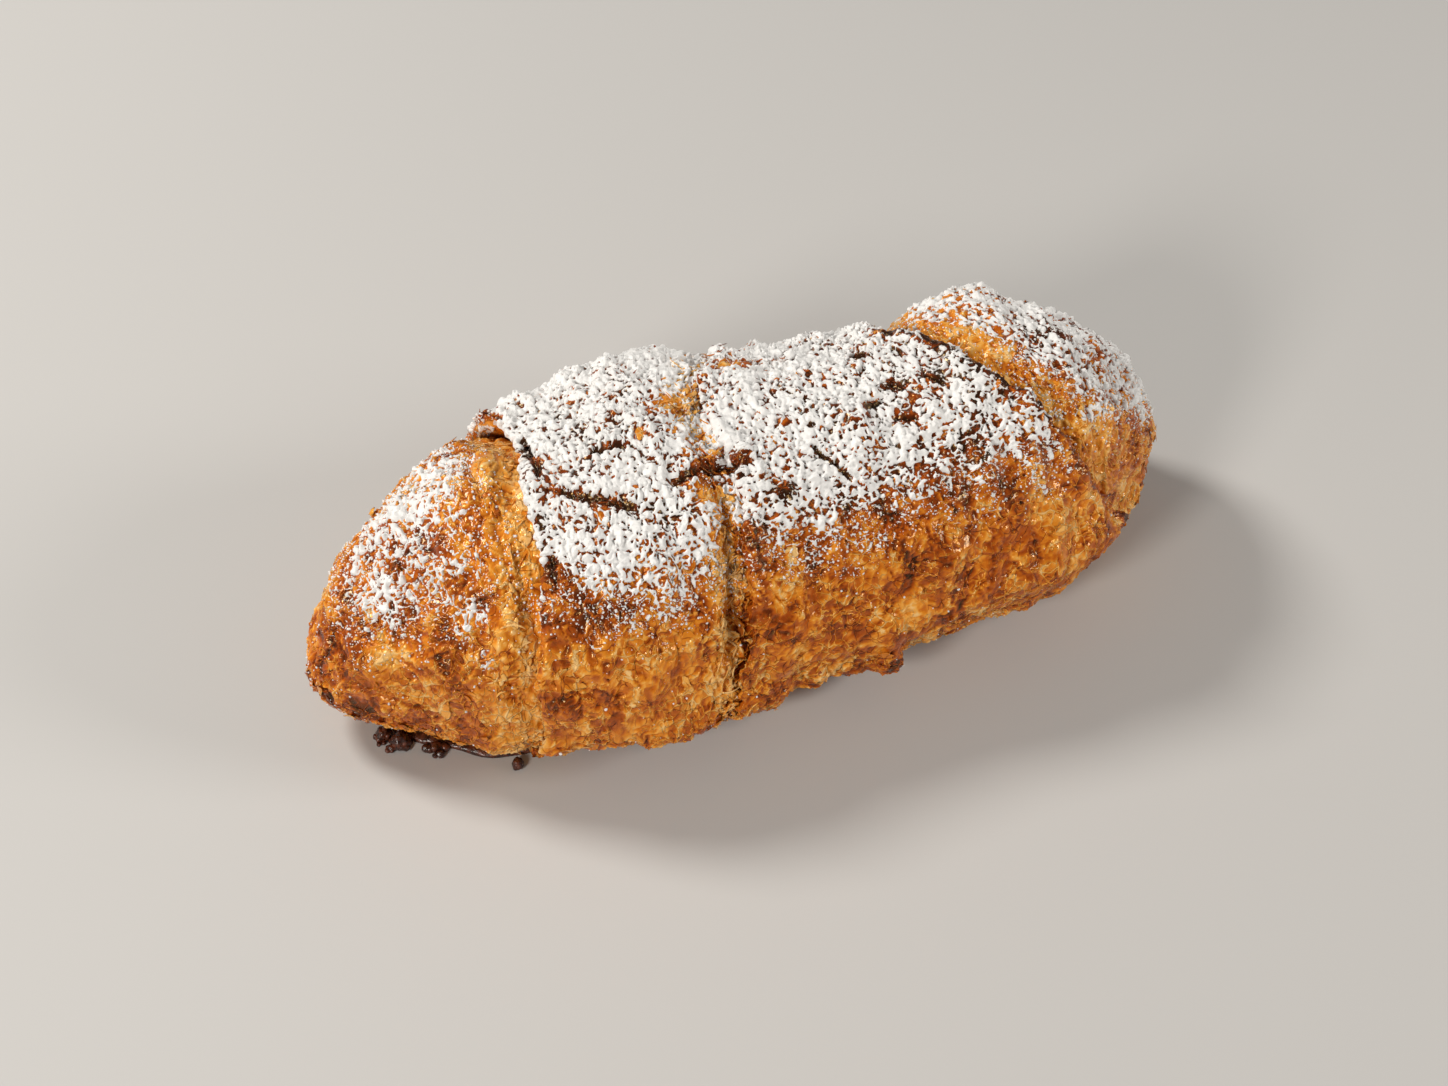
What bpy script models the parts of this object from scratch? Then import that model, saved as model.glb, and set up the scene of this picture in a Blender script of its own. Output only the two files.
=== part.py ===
"""Chocolate croissant: a baked roll in a wrap of the same dough, with chocolate that ran out under one end.

Two solids are made, each in its own object:

crust      the whole pastry in one piece. The bare roll shows at both ends. The wrap round its middle has a
           raised edge at each end and a split across it, with a curled lip, two baked tabs and a flaky skin.
chocolate  the filling, a flat layer that runs through the base of the left end and stands out in beads.

The roll lies along X with its left end at -X, its front towards -Y and its flat base on Z = 0.
Sizes below are in millimetres and angles in degrees. An angle goes round the roll: 0 is the front,
90 the crest, 180 the back and 270 the base.
"""

import math

import bmesh
import bpy
from mathutils import Matrix, Vector, noise

noise.seed_set(1)  # without it, noise_vector takes its offsets from the clock

MM = 0.001

# The bare roll: place along the roll, centre line, half-width and height.
ROLL = (
    (-70.5, 0.5, 19.5, 30.0),
    (-58.0, 1.5, 21.5, 35.0),
    (-42.0, 1.5, 26.0, 39.0),
    (-20.0, 2.0, 28.0, 41.0),
    (4.0, 3.2, 27.3, 40.5),
    (28.0, 3.2, 25.6, 41.0),
    (48.0, 4.2, 23.2, 43.5),
    (62.0, 6.0, 21.8, 41.5),
    (76.0, 9.0, 20.0, 34.0),
)
LEFT_TIP = ROLL[0][0]
RIGHT_TIP = ROLL[-1][0]
LEFT_ROUNDING, LEFT_FULLNESS, LEFT_TIP_HEIGHT = 31.5, 1.75, 10.0
RIGHT_ROUNDING, RIGHT_FULLNESS, RIGHT_TIP_HEIGHT = 34.0, 2.2, 15.0
WIDEST_AT = 0.38  # share of the height at which the roll is widest
CROWN_POWER, BELLY_POWER = 2.25, 3.2  # roundness of the section above and below its widest line
BASE_SINK = 1.3  # how far the rounded belly would reach below the base that it stands on

# Where the wrap's edges and its split run: angle round the roll, place along it.
LEFT_EDGE = (
    *((-90, -40.5), (0, -40.0), (25, -39.0), (52, -36.0)),
    *((80, -33.8), (108, -32.0), (135, -34.5), (180, -37.0)),
)
RIGHT_EDGE = (
    *((-90, 55.0), (-12, 56.0), (0, 61.0), (14, 56.0), (30, 52.0)),
    *((60, 46.2), (90, 37.0), (117, 29.5), (180, 34.0)),
)
SPLIT = (
    *((-90, -12.0), (-7, -11.5), (12, -9.2), (40, -7.8), (60, -6.4)),
    *((97, -6.2), (120, -1.0), (140, 3.0), (200, 0.0)),
)
WRAP_THICKNESS = 2.3
EDGE_ROUNDING, EDGE_OVERHANG, EDGE_TUCK = 1.1, 1.3, 2.4
LIP_CURL, LIP_ANGLE, LIP_SPREAD = 1.5, 133.0, 14.0  # the curled lip at the back of the left edge
TAB_CURL, TAB_ANGLE, TAB_SPREAD = 2.6, 1.0, 9.0  # the tab at the front of the right edge
SPLIT_DEPTH, SPLIT_DEPTH_ANGLE, SPLIT_DEPTH_SPREAD = 2.4, 45.0, 42.0
SPLIT_WIDTH, SPLIT_WIDTH_ANGLE, SPLIT_WIDTH_SPREAD = 3.6, 80.0, 45.0
SPLIT_SLOPE, SPLIT_RIDGE, SPLIT_RIDGE_HEIGHT = 2.4, 1.2, 0.4  # its sloping left side and raised right side
BAND_CROWN = 0.5
PINCH, PINCH_LENGTH = 1.0, 6.0  # how much the roll is drawn in beside the wrap

# Columns of faces: each end of the roll, the left band, the split's floor and the right band.
LEFT_COLUMNS, LEFT_BAND_COLUMNS, FLOOR_COLUMNS, RIGHT_BAND_COLUMNS, RIGHT_COLUMNS = 21, 17, 2, 29, 18
ROWS = 58  # faces round the roll
CROWDING = 0.35  # how much closer the rows lie over the crest than under the base

# The wrap's loose end, a baked hem low on the front that stops short of the right edge.
HEM_START, HEM_END, HEM_FADE = (-34.0, -20.0), 19.5, 1.6
HEM_HEIGHT, HEM_ANGLE, HEM_SPREAD = 2.2, -18.0, 20.0

# Places where the dough rose more or less: place along, angle, reach along, reach round, height.
SWELLS = (
    (45.0, 116.0, 9.0, 26.0, 2.6),
    (-12.0, 122.0, 8.0, 24.0, 1.2),
    (18.0, 118.0, 13.0, 28.0, -1.7),
    (-29.0, 122.0, 9.0, 28.0, -2.8),
    (-26.0, 24.0, 10.0, 26.0, 1.0),
    (30.0, 34.0, 16.0, 26.0, 0.8),
    (14.0, -12.0, 20.0, 20.0, -2.2),
    (-61.0, 128.0, 9.0, 34.0, 1.6),
    (-63.0, 40.0, 8.0, 30.0, 1.0),
    (4.0, 80.0, 7.0, 20.0, -0.6),
    (17.0, -17.0, 3.0, 13.0, 1.8),
)

# The skin's relief: size of the pattern and height of the relief.
WAVE_SIZE, WAVE_HEIGHT = 17.0, 1.0
FLAKE_SIZE, FLAKE_HEIGHT = 8.0, 2.0
FLAKE_STRETCH = Vector((1.0, 0.55, 0.55))  # flakes run round the roll rather than along it
FLAKE_BEND, FLAKE_BEND_SIZE, FLAKE_LEVEL = 0.35, 1.7, 0.4
RELIEF_START, RELIEF_WHOLE = 0.3, 4.0  # heights above the base between which the relief grows

# The chocolate layer and its beads: place along, place across, radius.
LAYER_CENTRE = (-40.8, 2.0)
LAYER_TURN = -30.0
LAYER_HALF_LENGTH, LAYER_HALF_WIDTH, LAYER_HEIGHT = 16.5, 20.0, 2.6
LAYER_SQUARENESS, LAYER_SIDE, LAYER_TOP = 4.0, 0.6, 0.5  # powers of its outline, side and top
LAYER_WAVER, LAYER_WAVER_SIZE = 0.05, Vector((2.0, 2.0, 7.0))
LAYER_ROWS, LAYER_RINGS = 36, 10
BEADS = ((-61.0, -7.4, 1.5), (-58.4, -10.4, 1.9), (-52.8, -13.6, 1.4), (-42.6, -20.2, 1.5))
BEAD_RISE = 0.6  # height of a bead's middle as a share of its radius
SPARE_DEPTH = 1.5  # how far the layer is made below the base before it is cut level
FIT_GAP = 0.3

MERGE_DISTANCE = 1e-7  # metres
FRAME_SHIFT = Vector((-2.6, -1.9, 0.0))  # brings the middle of the base to the origin


def between(low, high, share):
    """The value that lies this share of the way from low to high."""
    return low + (high - low) * share


def smooth_step(low, high, value):
    """0 up to low, 1 from high, and an even rise between them."""
    share = min(1.0, max(0.0, (value - low) / (high - low)))
    return share * share * (3.0 - 2.0 * share)


def smooth_curve(points, place, column=1):
    """Reads a curve that runs smoothly through points, a table of rows sorted by their first value."""
    if place <= points[0][0]:
        return points[0][column]
    if place >= points[-1][0]:
        return points[-1][column]
    last = len(points) - 1
    i = max(k for k in range(last) if points[k][0] <= place)
    before, start, end, after = (points[min(last, max(0, i + k))] for k in (-1, 0, 1, 2))
    span = end[0] - start[0]
    share = (place - start[0]) / span
    slopes = []
    for low, high in ((before, end), (start, after)):
        reach = high[0] - low[0]
        slopes.append((high[column] - low[column]) / reach * span if reach else 0.0)
    square, cube = share**2, share**3
    return (
        (2 * cube - 3 * square + 1) * start[column]
        + (cube - 2 * square + share) * slopes[0]
        + (3 * square - 2 * cube) * end[column]
        + (cube - square) * slopes[1]
    )


def round_curve(points, angle):
    """Reads a closed curve round the roll at an angle in degrees from -90 to 270."""
    first = points[0]
    return smooth_curve(points + ((first[0] + 360, first[1]),), angle)


def hump(value, centre, reach):
    """A bell that is 1 at its centre and fades out over about two reaches."""
    return math.exp(-(((value - centre) / reach) ** 2))


def end_size(x):
    """How much of the full section is left at x, from 1 along the roll to 0 at its tips."""
    from_left = 1.0 - min(1.0, (x - LEFT_TIP) / LEFT_ROUNDING)
    from_right = 1.0 - min(1.0, (RIGHT_TIP - x) / RIGHT_ROUNDING)
    left = max(0.0, 1.0 - from_left**LEFT_FULLNESS) ** (1.0 / LEFT_FULLNESS)
    right = max(0.0, 1.0 - from_right**RIGHT_FULLNESS) ** (1.0 / RIGHT_FULLNESS)
    return left * right


def swell(x, angle):
    """How far the dough stands out at this place because it rose more there."""
    hem = HEM_HEIGHT * hump(angle, HEM_ANGLE, HEM_SPREAD)
    hem *= smooth_step(*HEM_START, x) * smooth_step(HEM_END, HEM_END - HEM_FADE, x)
    return hem + sum(
        height * hump(x, along, reach) * hump(angle, round_at, spread)
        for along, round_at, reach, spread, height in SWELLS
    )


def upper_share(angle):
    """1 where the wrap shows and 0 under the base, where everything lies flat."""
    return smooth_step(-38.0, -8.0, angle) * smooth_step(222.0, 188.0, angle)


def roll_point(x, angle, lift):
    """A point of the skin, this far outside the bare roll."""
    lift = lift * upper_share(angle) + swell(x, angle)
    across, up = math.cos(math.radians(angle)), math.sin(math.radians(angle))
    half_width = smooth_curve(ROLL, x, 2) + lift
    height = smooth_curve(ROLL, x, 3)
    widest = WIDEST_AT * height
    y = -half_width * math.copysign(abs(across) ** (2.0 / CROWN_POWER), across)
    if up >= 0:
        z = widest + (height + lift - widest) * up ** (2.0 / CROWN_POWER)
    else:
        z = widest - (widest + BASE_SINK) * (-up) ** (2.0 / BELLY_POWER)
    tip_height = between(LEFT_TIP_HEIGHT, RIGHT_TIP_HEIGHT, (x - LEFT_TIP) / (RIGHT_TIP - LEFT_TIP))
    size = end_size(x)
    return Vector((x, smooth_curve(ROLL, x, 1) + size * y, tip_height + size * (z - tip_height)))


def rails(angle):
    """The lines that the skin follows from tip to tip, each with its columns since the one before it.

    Each rail is (columns, place along the roll, height above the bare roll).
    """
    left, right = round_curve(LEFT_EDGE, angle), round_curve(RIGHT_EDGE, angle)
    split = round_curve(SPLIT, angle)
    ridge = split + SPLIT_WIDTH * between(0.6, 1.0, hump(angle, SPLIT_WIDTH_ANGLE, SPLIT_WIDTH_SPREAD))
    depth = SPLIT_DEPTH * between(0.45, 1.0, hump(angle, SPLIT_DEPTH_ANGLE, SPLIT_DEPTH_SPREAD))
    lip = WRAP_THICKNESS + LIP_CURL * hump(angle, LIP_ANGLE, LIP_SPREAD)
    tab = WRAP_THICKNESS + TAB_CURL * hump(angle, TAB_ANGLE, TAB_SPREAD)
    foot = between(-EDGE_TUCK, EDGE_OVERHANG, upper_share(angle))
    under = between(-0.5 * EDGE_TUCK, 0.7 * EDGE_OVERHANG, upper_share(angle))
    return (
        (0, LEFT_TIP, 0.0),
        (LEFT_COLUMNS, left + foot, -PINCH),
        (1, left + under, 0.5 * lip),
        (1, left, 0.8 * lip),
        (1, left + EDGE_ROUNDING, lip),
        (LEFT_BAND_COLUMNS, split - SPLIT_SLOPE, WRAP_THICKNESS),
        (1, split, WRAP_THICKNESS - depth),
        (FLOOR_COLUMNS, ridge, WRAP_THICKNESS - 0.7 * depth),
        (1, ridge + SPLIT_RIDGE, WRAP_THICKNESS + SPLIT_RIDGE_HEIGHT),
        (RIGHT_BAND_COLUMNS, right - EDGE_ROUNDING, tab),
        (1, right, 0.8 * tab),
        (1, right - under, 0.5 * tab),
        (1, right - foot, -PINCH),
        (RIGHT_COLUMNS, RIGHT_TIP, 0.0),
    )


COLUMNS = sum(rail[0] for rail in rails(90.0))


def skin_point(column, angle):
    """A point of the smooth skin, by its column between the tips and its angle round the roll."""
    lines = rails(angle)
    passed = 0
    for k in range(1, len(lines)):
        count = lines[k][0]
        if column <= passed + count or k == len(lines) - 1:
            break
        passed += count
    share = (column - passed) / count
    (_, start, low), (_, end, high) = lines[k - 1], lines[k]
    lift = between(low, high, share)
    if k == 1:
        x = between(end, start, math.cos(share * math.pi / 2))
        lift = high * smooth_step(end - PINCH_LENGTH, end, x)
    elif k == len(lines) - 1:
        x = between(start, end, math.sin(share * math.pi / 2))
        lift = low * smooth_step(start + PINCH_LENGTH, start, x)
    else:
        x = between(start, end, share)
        if count in (LEFT_BAND_COLUMNS, RIGHT_BAND_COLUMNS):
            lift += BAND_CROWN * math.sin(share * math.pi)
    return roll_point(x, angle, lift)


def relief(point):
    """How far the baked skin stands out at a point: slow waves, and flakes with raised edges."""
    wave = noise.noise(point / WAVE_SIZE) * WAVE_HEIGHT
    stretched = point * FLAKE_STRETCH / FLAKE_SIZE
    bent = stretched + FLAKE_BEND * noise.noise_vector(stretched * FLAKE_BEND_SIZE)
    nearest, second = noise.voronoi(bent)[0][:2]
    flake = (second - nearest - FLAKE_LEVEL) * FLAKE_HEIGHT
    return (wave + flake) * smooth_step(RELIEF_START, RELIEF_WHOLE, point.z)


def round_mesh(name, rows, rings, place):
    """A closed mesh over rings from tip to tip and rows round them, with place giving each point."""
    shape = bmesh.new()
    bmesh.ops.create_uvsphere(shape, u_segments=rows, v_segments=rings, radius=1.0)
    for vert in shape.verts:
        ring = rings * math.acos(min(1.0, max(-1.0, vert.co.z))) / math.pi
        turn = math.atan2(vert.co.y, vert.co.x)
        vert.co = place(ring, turn)
    bmesh.ops.recalc_face_normals(shape, faces=shape.faces)
    return shape, bpy.data.meshes.new(name)


def finished_object(shape, mesh, material):
    """Puts the shape into the mesh, in metres and in the part's frame, and links its object."""
    bmesh.ops.translate(shape, vec=FRAME_SHIFT, verts=shape.verts)
    bmesh.ops.scale(shape, vec=Vector((MM, MM, MM)), verts=shape.verts)
    shape.to_mesh(mesh)
    shape.free()
    mesh.shade_smooth()
    mesh.materials.append(material)
    made = bpy.data.objects.new(mesh.name, mesh)
    bpy.context.scene.collection.objects.link(made)
    return made


def plain_material(name, colour, roughness):
    """A material of one colour."""
    made = bpy.data.materials.new(name)
    made.use_nodes = True
    shader = made.node_tree.nodes["Principled BSDF"]
    shader.inputs["Base Color"].default_value = (*colour, 1.0)
    shader.inputs["Roughness"].default_value = roughness
    shader.inputs["Metallic"].default_value = 0.0
    return made


def apply_boolean(target, operation, others):
    """Cuts the others from the target, or joins them to it, and removes them."""
    group = bpy.data.collections.new("boolean_group")
    for other in others:
        bpy.context.scene.collection.objects.unlink(other)
        group.objects.link(other)
    bpy.context.scene.collection.children.link(group)
    modifier = target.modifiers.new("boolean", "BOOLEAN")
    modifier.operation = operation
    modifier.operand_type = "COLLECTION"
    modifier.collection = group
    modifier.solver = "EXACT"
    seen = target.evaluated_get(bpy.context.evaluated_depsgraph_get())
    result = bpy.data.meshes.new_from_object(seen)
    target.modifiers.clear()
    target.data = result
    for other in others:
        bpy.data.objects.remove(other)
    bpy.data.collections.remove(group)


def make_crust(material):
    """The whole pastry: roll, wrap, split, tabs and flaky skin."""

    def place(ring, turn):
        crowded = math.degrees(turn + CROWDING * math.cos(turn))
        return skin_point(ring, crowded + 360.0 if crowded < -90.0 else crowded)

    shape, mesh = round_mesh("crust", ROWS, COLUMNS, place)
    shape.normal_update()
    moves = [vert.normal * relief(vert.co) for vert in shape.verts]
    for vert, move in zip(shape.verts, moves):
        vert.co += move
        vert.co.z = max(0.0, vert.co.z)
    return finished_object(shape, mesh, material)


def make_layer(name, material, grow=0.0):
    """The chocolate layer in the base of the left end, grown by a gap where it serves as a cutter."""
    turned = Matrix.Rotation(math.radians(LAYER_TURN), 3, "Z")

    def place(ring, turn):
        tilt = math.pi * ring / LAYER_RINGS
        flat = math.sin(tilt) ** LAYER_SIDE
        along, across = math.cos(turn), math.sin(turn)
        corner = abs(along) ** LAYER_SQUARENESS + abs(across) ** LAYER_SQUARENESS
        reach = flat * corner ** (-1.0 / LAYER_SQUARENESS)
        reach *= 1.0 + LAYER_WAVER * noise.noise(Vector((along, across, 1.0)) * LAYER_WAVER_SIZE)
        outline = Vector((LAYER_HALF_LENGTH + grow, LAYER_HALF_WIDTH + grow, 0.0))
        outline *= Vector((along * reach, across * reach, 0.0))
        height = -SPARE_DEPTH
        if 2 * ring < LAYER_RINGS:
            height = (LAYER_HEIGHT + grow) * math.cos(tilt) ** LAYER_TOP
        return turned @ outline + Vector((*LAYER_CENTRE, height))

    shape, mesh = round_mesh(name, LAYER_ROWS, LAYER_RINGS, place)
    return finished_object(shape, mesh, material)


def make_bead(number, along, across, radius, material, grow=0.0):
    """One bead of chocolate that ran out and set on the surface below."""
    shape = bmesh.new()
    bmesh.ops.create_icosphere(shape, subdivisions=2, radius=radius + grow)
    bmesh.ops.translate(shape, vec=Vector((along, across, BEAD_RISE * radius)), verts=shape.verts)
    return finished_object(shape, bpy.data.meshes.new(f"bead_{number}"), material)


def make_chocolate(name, material, grow=0.0):
    """The chocolate layer with its beads fused on, still reaching below the base."""
    layer = make_layer(name, material, grow)
    beads = [make_bead(k, *bead, material, grow) for k, bead in enumerate(BEADS)]
    apply_boolean(layer, "UNION", beads)
    return layer


def cut_level(target):
    """Cuts away what lies below the base and closes the cut with a flat face."""
    shape = bmesh.new()
    shape.from_mesh(target.data)
    everything = list(shape.verts) + list(shape.edges) + list(shape.faces)
    down = Vector((0.0, 0.0, -1.0))
    cut = bmesh.ops.bisect_plane(
        shape, geom=everything, plane_co=Vector(), plane_no=down, clear_outer=True, dist=MERGE_DISTANCE
    )
    rim = [edge for edge in cut["geom_cut"] if isinstance(edge, bmesh.types.BMEdge)]
    bmesh.ops.contextual_create(shape, geom=rim)
    bmesh.ops.triangulate(shape, faces=[face for face in shape.faces if len(face.verts) > 4])
    shape.to_mesh(target.data)
    shape.free()


def main():
    """Builds both solids, and cuts the crust to clear the chocolate."""
    for old in list(bpy.data.objects):
        bpy.data.objects.remove(old)
    baked = plain_material("baked_crust", (0.50, 0.19, 0.045), 0.42)
    dark = plain_material("dark_chocolate", (0.045, 0.014, 0.008), 0.30)
    crust = make_crust(baked)
    cut_level(make_chocolate("chocolate", dark))
    apply_boolean(crust, "DIFFERENCE", [make_chocolate("pocket", dark, FIT_GAP)])
    for made in bpy.data.objects:
        made.data.shade_smooth()
        made.data.set_sharp_from_angle(angle=math.radians(50))


main()
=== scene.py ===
"""Looks of the chocolate croissant: browned crust, powdered sugar, loose flakes, set chocolate.

The form is worked out in millimetres from the same driving sizes as the solids. A place on the
pastry is given along the roll and round it: 0 degrees is the front, 90 the crest, 180 the back.
"""

import logging
import math
from collections.abc import Callable, Iterable, Sequence
from dataclasses import dataclass, field
from enum import Enum
from typing import Any

import bmesh
import bpy
import numpy as np
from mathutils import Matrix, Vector, noise


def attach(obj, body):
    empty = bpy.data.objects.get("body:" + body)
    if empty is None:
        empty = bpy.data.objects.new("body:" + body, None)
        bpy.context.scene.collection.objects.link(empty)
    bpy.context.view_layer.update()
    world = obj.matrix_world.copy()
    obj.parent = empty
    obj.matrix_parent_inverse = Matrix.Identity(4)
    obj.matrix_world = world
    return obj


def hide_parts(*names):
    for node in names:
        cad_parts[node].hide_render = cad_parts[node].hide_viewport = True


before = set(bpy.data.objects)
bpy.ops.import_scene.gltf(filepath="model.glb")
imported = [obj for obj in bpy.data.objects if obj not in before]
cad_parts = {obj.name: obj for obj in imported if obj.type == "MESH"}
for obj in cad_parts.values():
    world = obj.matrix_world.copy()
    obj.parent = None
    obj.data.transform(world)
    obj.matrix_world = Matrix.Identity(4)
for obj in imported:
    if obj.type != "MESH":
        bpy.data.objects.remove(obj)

log = logging.getLogger("croissant")
logging.basicConfig(level=logging.INFO, format="%(name)s: %(message)s")
noise.seed_set(1)  # without it, noise_vector takes its offsets from the clock

MM = 0.001
FRAME_SHIFT = np.array([-2.6, -1.9, 0.0])
COARSE = 1.0

Points = np.ndarray
Numbers = np.ndarray
Place = tuple[float, ...]
Cover = Callable[[Numbers, Numbers], Numbers]


def between(low: Any, high: Any, share: Any) -> Any:
    """The value that lies this share of the way from low to high."""
    return low + (high - low) * share


def smooth_step(low: float, high: float, value: Numbers) -> Numbers:
    """0 up to low, 1 from high, and an even rise between them."""
    share = np.clip((value - low) / (high - low), 0.0, 1.0)
    return share * share * (3.0 - 2.0 * share)


def hump(value: Numbers, centre: float, reach: float) -> Numbers:
    """A bell that is 1 at its centre and fades out over about two reaches."""
    return np.exp(-(((value - centre) / reach) ** 2))


def smooth_noise(points: Points, size: float | Sequence[float], seed: float = 0.0) -> Numbers:
    """Reads soft noise from about -1 to 1 at many points.

    Args:
        points: The places, in millimetres.
        size: The size of the pattern, in millimetres, one value or one for each axis.
        seed: A shift that gives another pattern.

    Returns:
        One value for each point.
    """
    places = (points / np.asarray(size) + seed).tolist()
    return np.array([noise.noise(place) for place in places])


def drift(points: Points, size: float, seed: float = 0.0) -> Points:
    """Reads soft noise with a value for each axis, to bend another pattern."""
    places = (points / size + seed).tolist()
    return np.array([noise.noise_vector(place) for place in places])


def unit(vectors: Points) -> Points:
    """The same directions, each 1 long."""
    return vectors / np.maximum(np.linalg.norm(vectors, axis=1), 1e-9)[:, None]


@dataclass(frozen=True)
class Cells:
    """A cell pattern read at many points."""

    nearest: Numbers
    second: Numbers
    mark: Numbers
    centres: Points

    @staticmethod
    def at(points: Points, size: float | Sequence[float], seed: float = 0.0) -> "Cells":
        """Reads the pattern.

        Args:
            points: The places, in millimetres.
            size: The size of a cell, in millimetres, one value or one for each axis.
            seed: A shift that gives another pattern.

        Returns:
            The distances to the two nearest cell centres, and a number from 0 to 1 and the centre,
            in units of the size, of the nearest.
        """
        places = (points / np.asarray(size) + seed).tolist()
        found = [noise.voronoi(place) for place in places]
        nearest = np.array([distances[0] for distances, _ in found])
        second = np.array([distances[1] for distances, _ in found])
        centres = np.array([tuple(centre[0]) for _, centre in found])
        mark = np.abs(np.sin(centres @ np.array([12.99, 78.23, 37.72])) * 43758.5) % 1.0
        return Cells(nearest, second, mark, centres)


@dataclass(frozen=True)
class Curve:
    """A smooth curve through a few points, each a place and the values there."""

    points: tuple[Place, ...]

    def read(self, place: Numbers, column: int = 1) -> Numbers:
        """Reads one column of the curve at many places."""
        table = np.array(self.points)
        xs, ys = table[:, 0], table[:, column]
        last = len(xs) - 1
        start = np.clip(np.searchsorted(xs, place, side="right") - 1, 0, last - 1)
        end = start + 1
        before, after = np.maximum(start - 1, 0), np.minimum(end + 1, last)
        span = xs[end] - xs[start]
        share = np.clip((place - xs[start]) / span, 0.0, 1.0)
        slope_in = (ys[end] - ys[before]) / (xs[end] - xs[before]) * span
        slope_out = (ys[after] - ys[start]) / (xs[after] - xs[start]) * span
        square, cube = share**2, share**3
        return (
            (2 * cube - 3 * square + 1) * ys[start]
            + (cube - 2 * square + share) * slope_in
            + (3 * square - 2 * cube) * ys[end]
            + (cube - square) * slope_out
        )

    def read_round(self, angle: Numbers) -> Numbers:
        """Reads the curve as a closed one round the roll, from -90 to 270 degrees."""
        first = self.points[0]
        return Curve(self.points + ((first[0] + 360.0, *first[1:]),)).read(angle)


@dataclass(frozen=True)
class Spots:
    """Soft round areas of the skin: place, angle, reach along, reach round and strength of each."""

    areas: tuple[Place, ...]

    def read(self, x: Numbers, angle: Numbers) -> Numbers:
        """Adds up the areas' strengths."""
        total = np.zeros_like(x)
        for along, round_at, reach, spread, strength in self.areas:
            total = total + strength * hump(x, along, reach) * hump(angle, round_at, spread)
        return total


@dataclass(frozen=True)
class Slits:
    """Narrow slits in the skin, drawn dark with painted shade: each one's first place and angle,
    last ones and half-width.
    """

    lines: tuple[Place, ...] = (
        (-31.0, 81.0, -25.7, 73.5, 0.62), (-25.7, 73.5, -20.0, 67.0, 0.72),
        (-22.6, 88.0, -18.2, 86.0, 0.50), (-12.6, 71.0, -8.0, 74.0, 0.60),
        (-7.9, 74.0, -2.6, 71.5, 0.65), (9.8, 71.0, 13.9, 57.5, 0.32),
        (-31.2, 104.0, -31.4, 87.0, 0.60), (-33.8, 58.0, -34.6, 48.0, 0.70),
        (28.6, 110.0, 30.2, 105.0, 0.60), (23.0, 100.5, 25.0, 98.0, 0.45),
        (26.0, 86.0, 27.0, 82.0, 0.50), (20.4, 79.0, 23.0, 81.0, 0.40),
        (31.0, 83.0, 33.0, 80.0, 0.50), (24.4, 73.0, 27.0, 71.5, 0.50),
    )
    degree: float = 0.46
    depth: float = 0.8

    def read(self, x: Numbers, angle: Numbers) -> Numbers:
        """1 in a slit, fading to 0 beside it."""
        total = np.zeros_like(x)
        for start, start_angle, end, end_angle, half_width in self.lines:
            along, round_by = end - start, (end_angle - start_angle) * self.degree
            past, up = x - start, (angle - start_angle) * self.degree
            share = np.clip((past * along + up * round_by) / (along**2 + round_by**2), 0.0, 1.0)
            away = np.hypot(past - share * along, up - share * round_by)
            total = np.maximum(total, hump(away, 0.0, half_width))
        return total


@dataclass(frozen=True)
class Layers:
    """The layered edge of the dough low on the front, a stack of thin ledges."""

    pitch: float = 4.2
    along: tuple[float, float] = (16.0, 54.0)
    around: tuple[float, float] = (-42.0, -6.0)
    fade: float = 6.0
    height: float = 0.38

    def read(self, x: Numbers, angle: Numbers, points: Points) -> Numbers:
        """1 on a ledge, fading to 0 between ledges and outside their zone."""
        turns = (angle + 3.0 * smooth_noise(points, 7.0, 64.0)) / self.pitch
        broken = smooth_noise(points, (3.0, 9.0, 9.0), 65.0)
        ledge = hump(turns % 1.0, 0.5, 0.20) * smooth_step(-0.30, 0.05, broken)
        for value, (low, high) in ((x, self.along), (angle, self.around)):
            ledge = ledge * smooth_step(low, low + self.fade, value)
            ledge = ledge * smooth_step(high, high - self.fade, value)
        return ledge


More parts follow.
